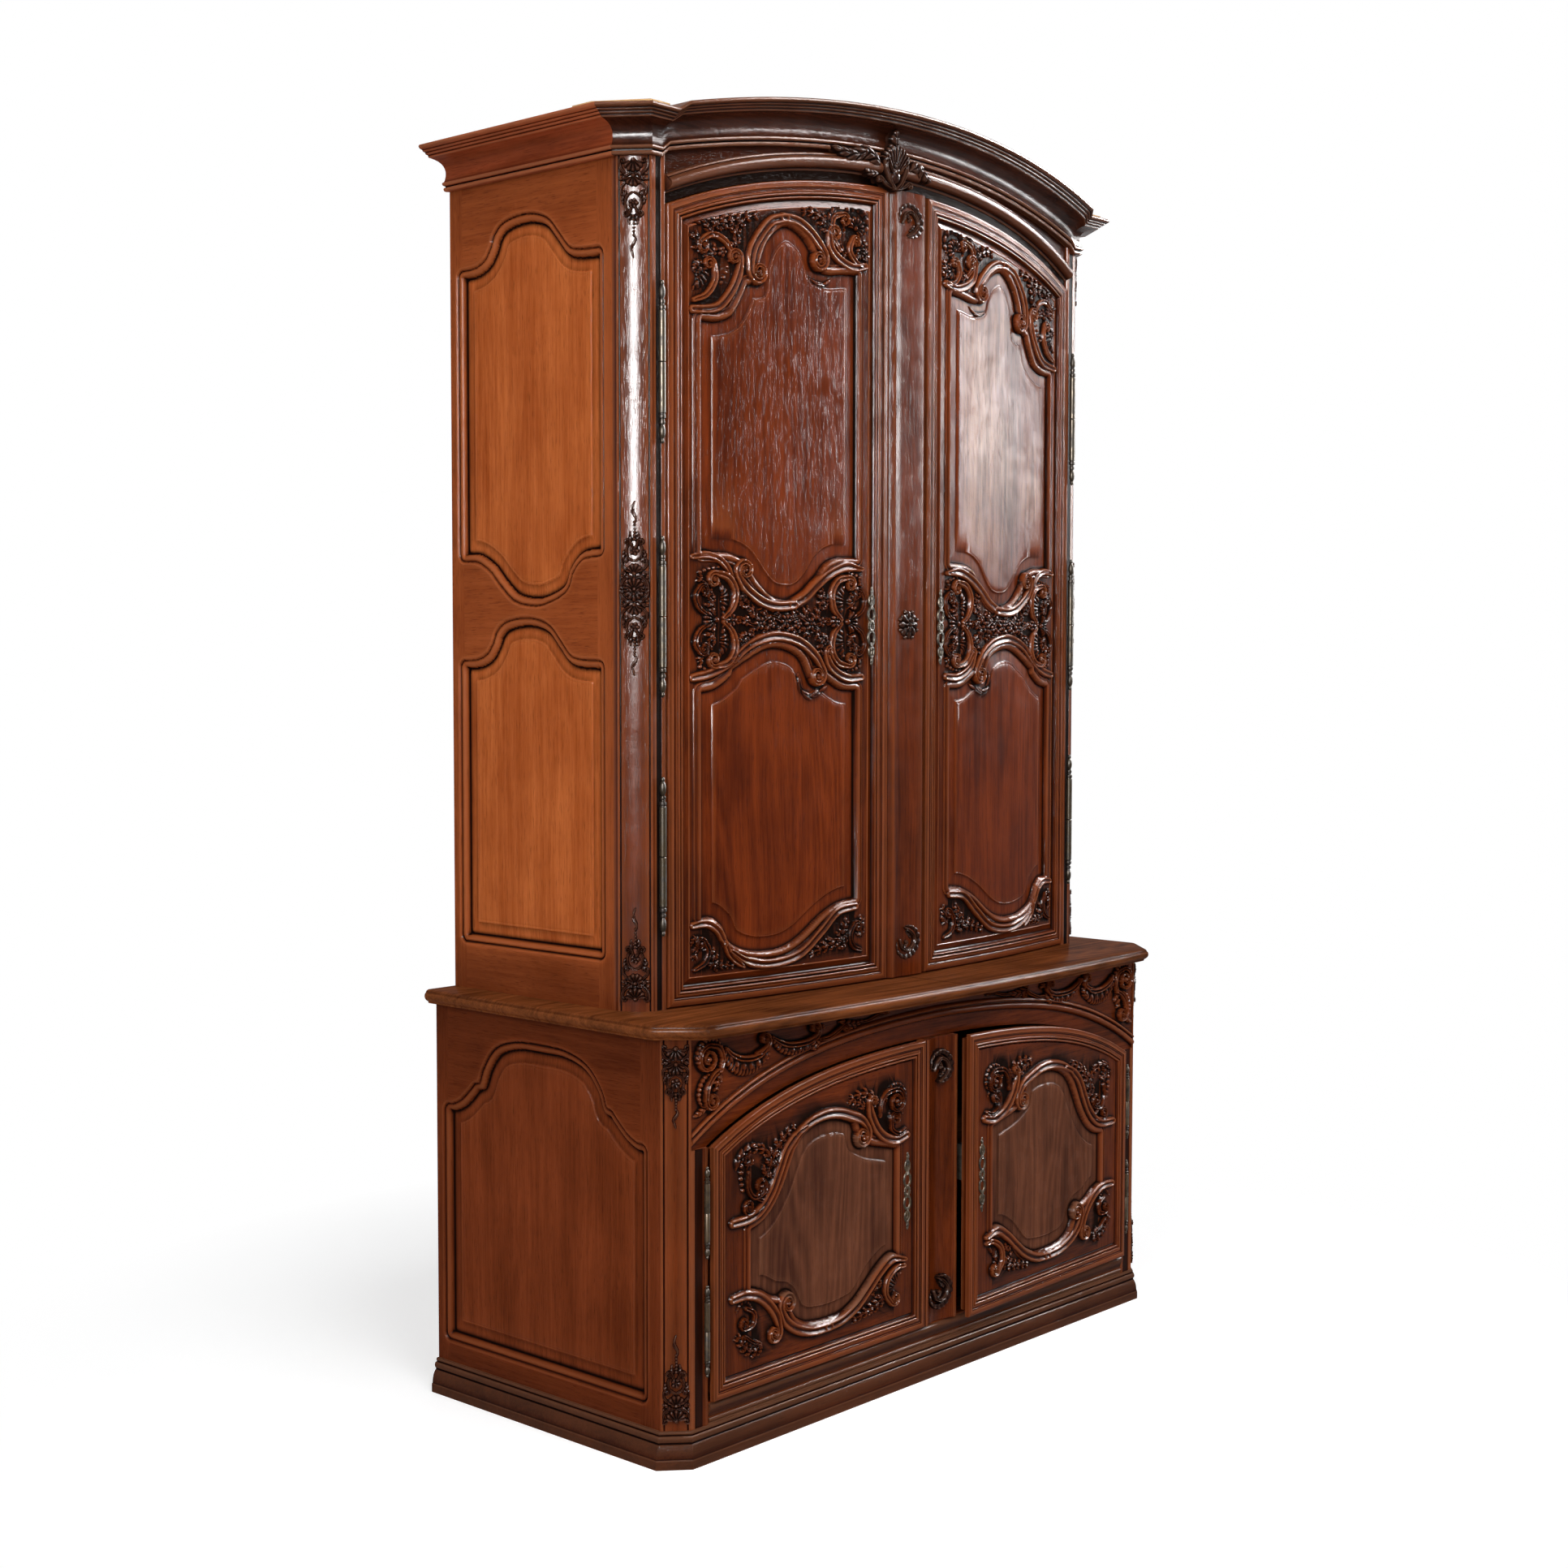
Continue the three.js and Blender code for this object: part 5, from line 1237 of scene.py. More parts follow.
def lower_door():
    body = "lower_left_door"
    inset = 39
    runs = door_runs(LOWER_DOOR_OUTER, LOWER_DOOR_INNER, LOWER_DOOR_BOTTOM, lower_top)
    rim("lower_left_door", runs, LOWER_RIM, flat(0.0), body, ["lower_left_door_frame"])
    xs = lines(
        LOWER_DOOR_OUTER + inset, LOWER_DOOR_INNER - inset, [(LOWER_DOOR_OUTER, LOWER_DOOR_INNER)],
        [-590, -153],
    )
    top = lower_top(xs.max()) - inset + 8
    zs = lines(LOWER_DOOR_BOTTOM + inset, top, [(LOWER_DOOR_BOTTOM, 330), (395, 700)])
    relief = Relief(xs, zs, -7.0)
    distance = signed(LOWER_PANEL, relief.x, relief.z, EDGE_REACH)
    relief.h = edge_heights(DOOR_EDGE, distance)
    carve_lower_door(relief)
    # Painted shade over the finer carving
    relief.painted_shade = 0.3 * blurred((relief.carved & ~relief.plain).astype(float), 1)
    middle = cell_values(distance)
    x_cell, z_cell = cell_values(relief.x), cell_values(relief.z)
    within = z_cell < lower_top(x_cell) - inset + 2
    stiles = (x_cell < -590) | (x_cell > -153)
    parts = [
        ("stiles", (middle > 0) & within & stiles, -DOOR_THICK, dark_oak, "dark_oak", []),
        ("rails", (middle > 0) & within & ~stiles, -DOOR_THICK, dark_rail, "dark_oak", []),
        ("panel", middle <= 0, -PANEL_BACK, lower_panel, "panel_oak", ["panel"]),
    ]
    for word, cells, back, material, slot, nodes in parts:
        relief.solid(
            f"lower_left_{word}", flat(0.0), back, body, material, slot, cells, thin=KEPT_FACES,
            replaces=[f"lower_left_door_{node}" for node in nodes],
        )


def right_doors():
    """The right doors mirror the left ones; the lower one stands ajar about its hinge line."""
    hinge = Vector((LOWER_HINGE_X, LOWER_HINGE_Y + FRONT, 0)) * MM
    ajar = Matrix.Translation(hinge) @ Matrix.Rotation(AJAR, 4, "Z") @ Matrix.Translation(-hinge)
    for piece in list(bpy.context.scene.objects):
        body = piece.get("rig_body")
        if body not in ("upper_left_door", "lower_left_door") or piece.type != "MESH":
            continue
        if piece.name in frame["nodes"]:
            continue
        name = piece.name.replace("left", "right")
        nodes = [node.replace("left", "right") for node in piece.get("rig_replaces", [])]
        mirrored(
            piece, name, body.replace("left", "right"), replaces=nodes,
            turn=ajar if body == "lower_left_door" else None,
        )


# Carving, left door of each pair
# The ground that the doors' carving rises from: a height in mm, below the face
CUT = -9.0


def carve_upper_door(r):
    r.ground = CUT
    top_panel_scrolls(r)
    left_spandrel(r)
    right_spandrel(r)
    middle_rail(r)
    low_panel_scrolls(r)


def top_panel_scrolls(r):
    r.scroll([(-600, 2204), (-560, 2208), (-536, 2216), (-515, 2236), (-497, 2262), (-486, 2288),
              (-482, 2312)],
             22, 11, (16, 1.2, 1), 0.8)
    r.scroll([(-365, 2408), (-402, 2397), (-428, 2373), (-449, 2343), (-457, 2318), (-458, 2294)],
             25, 12, (21, 1.35, 1), 0.9)
    r.scroll([(-372, 2408), (-335, 2406), (-303, 2392), (-279, 2373), (-258, 2352)], 25, 12,
             (21, 1.35, -1), 0.9)
    r.scroll([(-136, 2340), (-168, 2333), (-196, 2338), (-220, 2348), (-238, 2364), (-245, 2390)],
             22, 11, (17, 1.2, -1), 0.8)
    r.leaf([(-296, 2298), (-270, 2289), (-248, 2292), (-232, 2303)], 9, 4, 2, -11)
    r.scroll([(-600, 1728), (-565, 1732), (-538, 1726), (-516, 1710), (-502, 1688)], 17, 9, None, 0.7)
    r.scroll([(-340, 1638), (-385, 1635), (-420, 1641), (-450, 1656), (-473, 1673), (-488, 1693)],
             25, 12, (20, 1.35, -1), 0.9)
    r.scroll([(-348, 1637), (-310, 1655), (-280, 1678), (-250, 1698), (-220, 1712), (-188, 1720),
              (-145, 1716)],
             25, 11, None, 0.9)


def left_spandrel(r):
    r.scroll([(-500, 2318), (-522, 2344), (-553, 2352), (-580, 2338)], 15, 11, (13, 1.1, 1), 0.6)
    r.scroll([(-596, 2222), (-566, 2236), (-546, 2266), (-548, 2296)], 15, 11, (13, 1.1, 1), 0.7)
    r.ruffle([(-598, 2240), (-572, 2252), (-558, 2276), (-562, 2300)], 22, 10, 6, 1)
    r.frond([(-548, 2302), (-562, 2322), (-590, 2334), (-599, 2352)], 24, 10, 4)
    r.frond([(-566, 2345), (-545, 2372), (-512, 2384), (-478, 2392)], 24, 11, 5)
    r.frond([(-486, 2330), (-498, 2352), (-490, 2378), (-462, 2398), (-432, 2404)], 20, 11, 5)
    r.frond([(-596, 2300), (-582, 2282), (-580, 2262)], 18, 9, 3)
    r.leaf([(-598, 2372), (-570, 2378), (-548, 2392)], 15, 9, 4)
    r.pearls([(-530, 2262), (-514, 2292), (-508, 2318)], 4.4, 9, 6, 0.6)
    r.flower((-528, 2322), 11, 5, 10)


def right_spandrel(r):
    r.frond([(-236, 2394), (-262, 2418), (-292, 2430), (-322, 2426)], 19, 10, 5)
    r.scroll([(-212, 2362), (-236, 2392), (-232, 2426), (-204, 2438)], 15, 11, (13, 1.1, -1), 0.6)
    r.ruffle([(-196, 2404), (-190, 2436), (-160, 2448), (-138, 2430), (-140, 2404)], 17, 11, 9, 1)
    r.shell((-166, 2414), 60, 250, 25, 9, 11)
    r.scroll([(-140, 2340), (-164, 2344), (-184, 2366), (-176, 2390)], 15, 11, (12, 1.1, -1), 0.7)
    r.shell((-158, 2370), -30, 200, 22, 7, 10)
    r.frond([(-192, 2346), (-206, 2362), (-214, 2382)], 14, 9, 3)
    r.frond([(-130, 2346), (-136, 2368), (-130, 2392)], 15, 9, 3)
    r.leaf([(-256, 2398), (-246, 2420), (-222, 2450), (-196, 2458)], 15, 9, 5)


def rail_cluster(r, x, way):
    """The C-scrolls and shells at one end of the middle rail; way is 1 where they open left."""
    def at(points):
        return [(x + way * a, 1606 + b) for a, b in points]
    for up in (1, -1):
        half = [(-8, 4 * up), (14, 26 * up), (20, 58 * up), (2, 84 * up), (-30, 92 * up)]
        r.scroll(at(half), 17, 12, (15, 1.1, way * up), 0.6)
        r.ruffle(at([(-6, 8 * up), (6, 34 * up), (2, 58 * up), (-16, 74 * up)]), 22, 11, 7, way * up)
        r.scroll(at([(-50, 10 * up), (-70, 24 * up), (-78, 46 * up), (-68, 64 * up)]), 12, 11,
                 (11, 1.1, -way * up), 0.6)
        r.frond(at([(-28, 26 * up), (-46, 44 * up), (-50, 66 * up), (-72, 84 * up)]), 18, 11, 4)
        r.pearls(at([(-66, 92 * up), (-46, 99 * up), (-20, 103 * up)]), 4.4, 9, 5, 0.7)
        r.frond(at([(30, 26 * up), (46, 42 * up), (52, 66 * up)]), 18, 10, 4)
    r.shell((x - way * 28, 1606), 90 + 90 * way, 150, 30, 7, 12)
    r.flower((x + way * 10, 1606), 14, 6, 12)


def middle_rail(r):
    rail_cluster(r, -516, 1)
    rail_cluster(r, -214, -1)
    for k, x in enumerate(np.linspace(-468, -262, 7)):
        centre = (x, 1602 + 3 * math.cos(k * 2.1))
        if k % 2:
            r.flower(centre, 15, 6, 12)
        else:
            r.flower(centre, 11, 5, 11)
    for k, x in enumerate(np.linspace(-452, -278, 6)):
        for up in (1, -1):
            spread = 26 + 10 * abs(k - 2.5) / 2.5
            tip = (x + 16 * (1 if k > 2 else -1), 1602 + up * spread)
            r.frond([(x, 1602 + 4 * up), (x + 2, 1602 + up * spread * 0.6), tip], 14, 10, 3)
    for way in (1, -1):
        middle = -365
        vine = [(middle, 1602), (middle - way * 40, 1614), (middle - way * 80, 1596),
                (middle - way * 118, 1612)]
        r.scroll(vine, 9, 9, (8, 1, way), 0.8)


def low_panel_scrolls(r):
    r.scroll([(-600, 1492), (-560, 1500), (-520, 1516), (-492, 1534)], 22, 10, None, 0.8)
    r.scroll([(-500, 1526), (-468, 1552), (-430, 1568), (-385, 1575), (-328, 1565), (-284, 1538),
              (-260, 1508)],
             25, 12, (20, 1.35, -1), 0.7)
    r.scroll([(-143, 1491), (-180, 1489), (-212, 1498), (-237, 1515), (-250, 1540)], 22, 11,
             (11, 1, -1), 0.8)
    r.leaf([(-322, 1500), (-316, 1466), (-290, 1452), (-262, 1462), (-240, 1474)], 16, 5, 4, -11)
    r.scroll([(-600, 1006), (-566, 1008), (-538, 992), (-520, 962)], 20, 10, None, 0.8)
    r.scroll([(-520, 966), (-506, 938), (-474, 914)], 15, 10, None, 0.9)
    r.scroll([(-160, 1012), (-215, 1004), (-265, 966), (-325, 926), (-400, 914), (-462, 924), (-506, 948)],
             24, 11, None, 0.8)
    r.scroll([(-596, 918), (-572, 930), (-562, 952), (-572, 974)], 14, 10, (12, 1.1, 1), 0.6)
    r.frond([(-556, 916), (-552, 944), (-566, 962)], 18, 10, 4)
    r.frond([(-556, 920), (-524, 922), (-494, 916)], 14, 9, 4)
    r.frond([(-598, 990), (-590, 960), (-598, 936)], 16, 9, 3)
    r.scroll([(-140, 918), (-166, 928), (-176, 952), (-164, 974)], 14, 10, (12, 1.1, -1), 0.6)
    r.frond([(-180, 930), (-214, 946), (-240, 938), (-296, 922)], 20, 10, 6)
    r.frond([(-190, 940), (-196, 962), (-182, 986)], 16, 10, 4)
    r.frond([(-136, 944), (-144, 966), (-134, 990)], 16, 9, 3)


def carve_lower_door(r):
    r.ground = CUT
    r.scroll([(-645, 448), (-600, 450), (-568, 462), (-538, 490), (-516, 527), (-494, 567), (-462, 594),
              (-436, 604)],
             25, 12, None, 0.8)
    r.scroll([(-462, 594), (-422, 611), (-377, 619), (-335, 616), (-298, 605), (-264, 591), (-246, 572)],
             25, 12, (22, 1.35, -1), 0.7)
    r.scroll([(-118, 537), (-150, 531), (-186, 541), (-214, 563), (-234, 595), (-241, 622)], 25, 12,
             (11, 1, -1), 0.8)
    eye = np.array([-155, 612])
    fan = [(math.cos(a), math.sin(a)) for a in np.radians([176, 135, 90, 45, 0, -30])]
    r.ruffle(eye + 27 * np.array(fan), 15, 10, 13, 1)
    r.scroll([(-208, 590), (-204, 617), (-186, 635), (-157, 639)], 14, 13, (26, 1.5, -1), 0.7)
    r.scroll([(-124, 550), (-146, 544), (-168, 556), (-172, 576)], 12, 12, (15, 1.3, -1), 0.8)
    r.ruffle([(-174, 572), (-166, 590), (-146, 594), (-130, 582)], 10, 9, 8, 1)
    r.frond([(-214, 606), (-232, 632), (-258, 645), (-304, 640)], 16, 11, 5)
    r.frond([(-252, 610), (-272, 628), (-306, 632)], 11, 9, 4)
    r.scroll([(-556, 470), (-580, 462), (-600, 460)], 13, 11, (14, 1.25, -1), 0.7)
    r.scroll([(-548, 496), (-556, 478), (-574, 484)], 10, 11, (9, 1.1, -1), 0.8)
    r.scroll([(-602, 540), (-604, 512), (-588, 490), (-566, 492)], 12, 12, (17, 1.3, 1), 0.8)
    r.pearls([(-622, 556), (-622, 530), (-616, 508)], 5.5, 10, 5, 0.8)
    r.frond([(-560, 520), (-540, 548), (-552, 576), (-590, 584)], 18, 11, 5)
    r.frond([(-606, 546), (-602, 572), (-628, 570)], 18, 11, 3)
    r.frond([(-536, 534), (-526, 566), (-502, 592), (-462, 612)], 18, 10, 6)
    r.leaf([(-636, 548), (-628, 574), (-600, 590), (-560, 588)], 14, 10, 5)
    r.scroll([(-548, 540), (-534, 520), (-520, 540)], 9, 9, (7, 1, 1), 0.6)
    r.scroll([(-645, 300), (-606, 301), (-572, 291), (-542, 269), (-521, 242), (-512, 213)], 24, 11,
             (17, 1.3, -1), 0.8)
    r.scroll([(-362, 185), (-415, 188), (-460, 202), (-492, 224), (-507, 250)], 25, 12, (21, 1.35, -1), 0.9)
    r.scroll([(-370, 185), (-325, 190), (-280, 208), (-242, 235), (-205, 264), (-167, 283), (-124, 275)],
             25, 12, None, 0.9)
    r.scroll([(-608, 276), (-586, 262), (-590, 240), (-612, 236)], 12, 11, (12, 1.2, -1), 0.8)
    r.ruffle([(-634, 272), (-612, 284), (-590, 268)], 9, 9, 8, 1)
    r.frond([(-560, 198), (-586, 190), (-612, 200), (-634, 226)], 19, 11, 6)
    r.scroll([(-566, 196), (-590, 206), (-612, 222)], 9, 10, (7, 1, 1), 0.7)
    r.scroll([(-126, 262), (-150, 262), (-180, 244), (-186, 214), (-168, 190)], 15, 12, (14, 1.2, 1), 0.8)
    r.ruffle([(-136, 250), (-162, 244), (-174, 222), (-160, 200)], 20, 11, 9, 1)
    r.frond([(-190, 214), (-214, 198), (-248, 190), (-292, 180)], 18, 11, 6)
    r.frond([(-194, 232), (-212, 238), (-228, 214)], 12, 9, 3)


# Strips that cover the joints of the doors
def meeting_plan(x0, x1, face, section):
    depth = face + 24
    return [(x0, depth), (x0, face + 1), (x0 + 1, face), *section, (x1 - 1, face), (x1, face + 1),
            (x1, depth)]


# Depth of the upper strip's face by distance from its left edge
STRIP_FACE = np.array([
    (1.5, 1), (3, 2.2), (4.5, 2.6), (6, 2), (7.5, -0.5), (9, -0.5), (10, 1), (15, 8), (17, 9.6), (20, 10.2),
    (24, 9.8), (30, 8.4), (36, 7.7), (43, 7.6), (60, 8.1), (90, 9.2), (110, 9.9), (113, 9.6), (116, 8.4),
    (120, 5.4), (123, 3.4), (126, 2.2), (127, 1),
])


def meeting_strips():
    x0, x1 = corners("upper_meeting_strip")[0][0], corners("upper_meeting_strip")[1][0]
    face = bow(-DOOR_INNER) + 5
    t = np.linspace(0, 1, 21)
    section = [(x0 + across, face - out) for across, out in STRIP_FACE]
    standing(
        "upper_strip", meeting_plan(x0, x1, face, section), DOOR_BOTTOM, 0, "upper_left_door", dark_oak,
        "dark_oak", top=upper_top, replaces=["upper_meeting_strip"], sharp=24,
    )
    x0, x1 = corners("lower_meeting_strip")[0][0], corners("lower_meeting_strip")[1][0]
    flute = [(x0 + 14 + (x1 - x0 - 28) * s, 3 + 11 * math.sin(math.pi * s) ** 0.8) for s in t]
    section = [(x0 + 4, 3), (x0 + 5, 1.6), (x0 + 9, 1), (x0 + 12, 1.6), (x0 + 13, 2.6), *flute,
               (x1 - 13, 2.6), (x1 - 12, 1.6), (x1 - 9, 1), (x1 - 5, 1.6), (x1 - 4, 3)]
    standing(
        "lower_strip", meeting_plan(x0, x1, 3, section), LOWER_DOOR_BOTTOM, 0, "lower_left_door", dark_oak,
        "dark_oak", top=lower_top, replaces=["lower_meeting_strip"], sharp=24,
    )


# Ornaments laid on a surface
def ornament(relief, name, place, back, body, material, slot="dark_oak", dark=0.5):
    """The carved cells of a relief as a piece of their own."""
    # dark sets how strong the painted shade over the carving is
    cells = cell_values(blurred(relief.carved.astype(float), 1)) > 0.35
    return relief.solid(name, place, back, body, material, slot, cells, dark, thin=0.6, sharp=60)


def grid(x0, x1, z0, z1, step=1.0):
    step = step * 1
    return np.arange(x0, x1, step), np.arange(z0, z1, step)


def pendant(r, u, z, way, length):
    """Shells between scrolls, a ring, beads and a flame, upwards where way is 1."""
    def at(*points):
        return [(u + a, z + way * b * length / 185) for a, b in points]
    for s in (1, -1):
        inwards, outwards = -s * way, s * way
        r.scroll(at((s * 2, 30), (s * 13, 31), (s * 23, 22), (s * 27, 8)), 6.5, 5.5, (6, 1.1, inwards), 0.8)
        r.scroll(at((s * 3, 40), (s * 13, 44), (s * 23, 54), (s * 24, 64)), 5.5, 5.5,
                 (6, 1.1, outwards), 0.8)
        r.scroll(at((s * 2, 64), (s * 13, 72), (s * 15, 88), (s * 8, 102)), 5, 5.5, None, 0.9)
        r.scroll(at((s * 4, 92), (s * 8, 104)), 6, 7, (6, 1.2, inwards), 0.9)
        r.leaf(at((s * 10, 28), (s * 18, 38), (s * 28, 40)), 9, 6, 3)
        r.leaf(at((s * 12, 62), (s * 20, 72), (s * 20, 86)), 8, 6, 3)
        r.leaf(at((s * 2, 104), (s * 8, 112), (s * 7, 124)), 6, 5, 2)
        r.pearls(at((s * 24, 30), (s * 26, 40)), 3, 5, 2)
    r.shell((u, z + way * 6), 90 * way, 170, 23, 6, 9)
    r.shell((u, z + way * 36), 90 * way, 150, 20, 5, 9)
    r.flower(at((0, 84))[0], 10, 5, 7)
    r.pearls(at((0, 108), (1, 124), (0, 142)), 3.4, 6, 6, 0.7)
    r.leaf(at((0, 138), (3.5, 150), (-3.5, 166), (1, 186)), 6, 5, 2)


def cant_face(corner, edge, bulge):
    """A canted face: the first coordinate runs from the corner to the edge, h is outwards."""
    corner, edge = np.array(corner, float), np.array(edge, float)
    width = np.hypot(*(edge - corner))
    way = (edge - corner) / width
    out = np.array([way[1], -way[0]])
    def place(u, z, h):
        t = u / width
        rise = h + bulge * np.clip(4 * t * (1 - t), 0, 1) ** 0.8
        return np.stack([
            corner[0] + way[0] * u + out[0] * rise, corner[1] + way[1] * u + out[1] * rise, z,
        ], -1)
    return place, width


def post_ornaments():
    place, width = cant_face((-CASE_HALF, STRIP_Y + CANT_DEPTH), (-EDGE_X, STRIP_Y), 5.5)
    sets = [
        ("top", 2285, 2480, [(2478, -1, 190)]),
        ("middle", 1490, 1835, [(1656, 1, 175), (1668, -1, 172)]),
        ("bottom", 855, 1055, [(866, 1, 184)]),
    ]
    low_place, low_width = cant_face((-LOWER_HALF, LOWER_SIDE_FRONT), (-LOWER_EDGE_X, LOWER_FRONT), 1.5)
    low_sets = [("top", 645, 812, [(806, -1, 158)]), ("bottom", 74, 262, [(84, 1, 172)])]
    for prefix, face, span, rows in (("upper", place, width, sets),
                                     ("lower", low_place, low_width, low_sets)):
        for word, z0, z1, pendants in rows:
            relief = Relief(*grid(3, span - 3, z0, z1), ground=0.4)
            for z, way, length in pendants:
                pendant(relief, span / 2, z, way, length)
            if len(pendants) > 1:
                relief.flower((span / 2, pendants[0][0] - 3), 15, 8, 9)
            name = f"{prefix}_post_{word}_ornament"
            left = ornament(relief, f"{name}_left", face, -5, CARCASS, post_oak)
            mirrored(left, f"{name}_right", CARCASS)


def ear(r, x, z, way):
    """A ribbed C-scroll, with its back upwards where way is 1."""
    def at(*points):
        return [(x + a, z + way * b) for a, b in points]
    arc = at((-33, 0), (-26, 20), (-3, 30), (22, 20), (32, -2), (20, -21), (-6, -31))
    r.ruffle(arc, 12, 8, 13, way)
    r.scroll(at((-24, -3), (-18, 13), (-2, 21), (15, 13), (21, -3), (11, -16), (-8, -28)), 8, 10, None, 0.3)
    r.scroll(at((-24, -3), (-20, 7), (-11, 12), (-3, 6)), 7, 8, (4, 1, -way), 0.8)
    r.leaf(at((12, -2), (8, -12), (-4, -20)), 9, 6, 3)


def rosette(r, x, z):
    r.flower((x, z), 30, 8, 10)
    r.flower((x, z), 17, 8, 13)
    r.dome((x, z), 6, 14)
    for angle in np.radians(np.arange(8) * 45 + 22.5):
        r.dome((x + 29 * math.cos(angle), z + 29 * math.sin(angle)), 4.5, 8)


def strip_ornaments():
    x0, x1 = corners("upper_meeting_strip")[0][0], corners("upper_meeting_strip")[1][0]
    face = bow(-DOOR_INNER) + 5
    def swelling(x, z, h):
        return np.stack([x, face - np.interp(x - x0, *STRIP_FACE.T) - h, z], -1)
    def fluted(x, z, h):
        return np.stack([x, 5.0 - h, z], -1)
    low_x = (corners("lower_meeting_strip")[0][0] + corners("lower_meeting_strip")[1][0]) / 2
    middle = (x0 + x1) / 2
    places = [
        ("upper_strip_top_shell", "upper_left_door", swelling, ear, middle, 2448, 1, -5),
        ("upper_strip_rosette", "upper_left_door", swelling, rosette, middle, 1602, 1, -5),
        ("upper_strip_low_shell", "upper_left_door", swelling, ear, middle, 926, -1, -5),
        ("lower_strip_top_shell", "lower_left_door", fluted, ear, low_x, 662, 1, -8),
        ("lower_strip_low_shell", "lower_left_door", fluted, ear, low_x, 182, -1, -8),
    ]
    for name, body, place, draw, x, z, way, back in places:
        relief = Relief(*grid(x - 42, x + 42, z - 42, z + 42), ground=-1.5)
        draw(relief, x, z, way) if draw is ear else draw(relief, x, z)
        ornament(relief, name, place, back, body, carved_oak)


def crest_shell():
    """The shell in the middle of the arch, leaning forward over the cornice's foot."""
    heights = [2500, 2560, 2590, 2625]
    leans = [11, 13, 19, 24]
    def leaning(x, z, h):
        return np.stack([x, bow(x) - h - np.interp(z, heights, leans), z], -1)
    r = Relief(*grid(-256, 64, 2500, 2628), ground=-1.0)
    cx = -66
    r.leaf([(cx - 5, 2574), (cx - 9, 2602), (cx - 5, 2626)], 26, 10, 3)
    r.shell((cx, 2530), 91, 96, 66, 9, 15)
    r.leaf([(cx - 1, 2526), (cx - 4, 2544), (cx - 2, 2562)], 14, 17, 2)
    for s in (1, -1):
        r.scroll([(cx + s * 4, 2506), (cx + s * 18, 2520), (cx + s * 32, 2546), (cx + s * 33, 2570)],
                 9, 13, (6, 1, s), 0.9)
        r.scroll([(cx + s * 12, 2508), (cx + s * 30, 2514), (cx + s * 44, 2524)], 8, 9, (7, 1.1, -s), 0.8)
    r.leaf([(-112, 2548), (-156, 2566), (-200, 2556), (-254, 2564)], 26, 14, 6)
    r.dome((-166, 2566), 9, 16)
    r.leaf([(-118, 2532), (-140, 2528), (-156, 2536)], 14, 9, 3)
    r.leaf([(-20, 2550), (4, 2560), (32, 2546), (54, 2540)], 24, 14, 4)
    r.dome((6, 2558), 8, 16)
    ornament(r, "crest_shell", leaning, -14, CARCASS, carved_oak)


def escutcheon_plate(r, x, z, tall):
    """A pierced key plate of scrolls above and below its keyhole."""
    k = tall / 165
    for s in (1, -1):
        def at(*points):
            return [(x + a, z + s * b * k) for a, b in points]
        for w in (1, -1):
            r.scroll(at((0, 10), (w * 8, 16), (w * 9, 30), (w * 2, 40)), 5, 2.4, (4, 0.9, w * s), 0.8)
            r.scroll(at((0, 42), (w * 7, 48), (w * 6, 60), (0, 66)), 4, 2.2, (2.6, 0.8, w * s), 0.8)
        r.leaf(at((0, 38), (0, 54), (0, 70)), 5, 2.4, 3)
        r.leaf(at((0, 64), (1.5, 74), (0, 82)), 7, 2.4, 2)
    for angle in np.radians(np.arange(0, 360, 30)):
        r.dome((x + 6.5 * math.cos(angle), z + 9.5 * math.sin(angle)), 3.6, 2.4)


def escutcheons():
    plates = [
        ("upper_left_escutcheon", "upper_left_door", -117, 1598, bowed(), 0.4, steel),
        ("lower_left_escutcheon", "lower_left_door", -112, 416, flat(0.0), -6.4, brass),
    ]
    for name, body, x, z, place, level, material in plates:
        relief = Relief(*grid(x - 14, x + 14, z - 86, z + 86, 0.7), ground=level)
        escutcheon_plate(relief, x, z, 165)
        ornament(relief, name, place, level - 1.2, body, material, "steel", 0.0)


# Hinges
HINGE_END = [
    (0, 0), (0.35, 0.02), (0.5, 0.05), (0.55, 0.09), (0.5, 0.13), (0.4, 0.16), (0.62, 0.2), (0.8, 0.27),
    (0.9, 0.36), (0.88, 0.45), (0.74, 0.53), (0.55, 0.58), (0.5, 0.62), (0.78, 0.64), (0.82, 0.69),
    (0.78, 0.74), (0.6, 0.76), (0.62, 0.8), (0.95, 0.83), (1, 0.88), (0.95, 0.93), (0.8, 0.95),
    (0.82, 0.98),
]


def turned(name, place, radii, body, material, slot, replaces):
    """A turned piece: radii is a list of (radius, z, shade value: painted shade where negative)."""
    angles = np.radians(np.arange(24) * 15)
    rings = [
        [(place[0] + r * math.cos(a), place[1] + r * math.sin(a), z) for a in angles]
        for r, z, _ in radii
    ]
    points, faces = loft(rings)
    patina = np.repeat([p for _, _, p in radii], len(angles))
    return build(name, points, faces, body, material, slot, patina, replaces=replaces)


def hinge_pair(prefix, number, x, y, z, radius, length, material, door):
    end = length * 0.19
    middle = length / 2
    # The finials darker, most over their upper part; painted shade in the crease where the two halves meet
    foot = [(max(0.02, r) * radius, z + h * end, -0.7 if h > 0.55 else -0.3) for r, h in HINGE_END]
    low = foot + [(radius, z + end, 0), (radius, z + middle - 1.5, 0),
                  (radius * 0.9, z + middle - 0.5, -0.6)]
    high = [(r, 2 * z + length - h, p) for r, h, p in low][::-1]
    turned(
        f"{prefix}_hinge_{number}_fixed", (x, y), low, CARCASS, material, "steel",
        [f"{prefix}_hinge_pin_{number}"],
    )
    turned(
        f"{prefix}_hinge_{number}_turning", (x, y), high, door, material, "steel",
        [f"{prefix}_hinge_barrel_{number}"],
    )


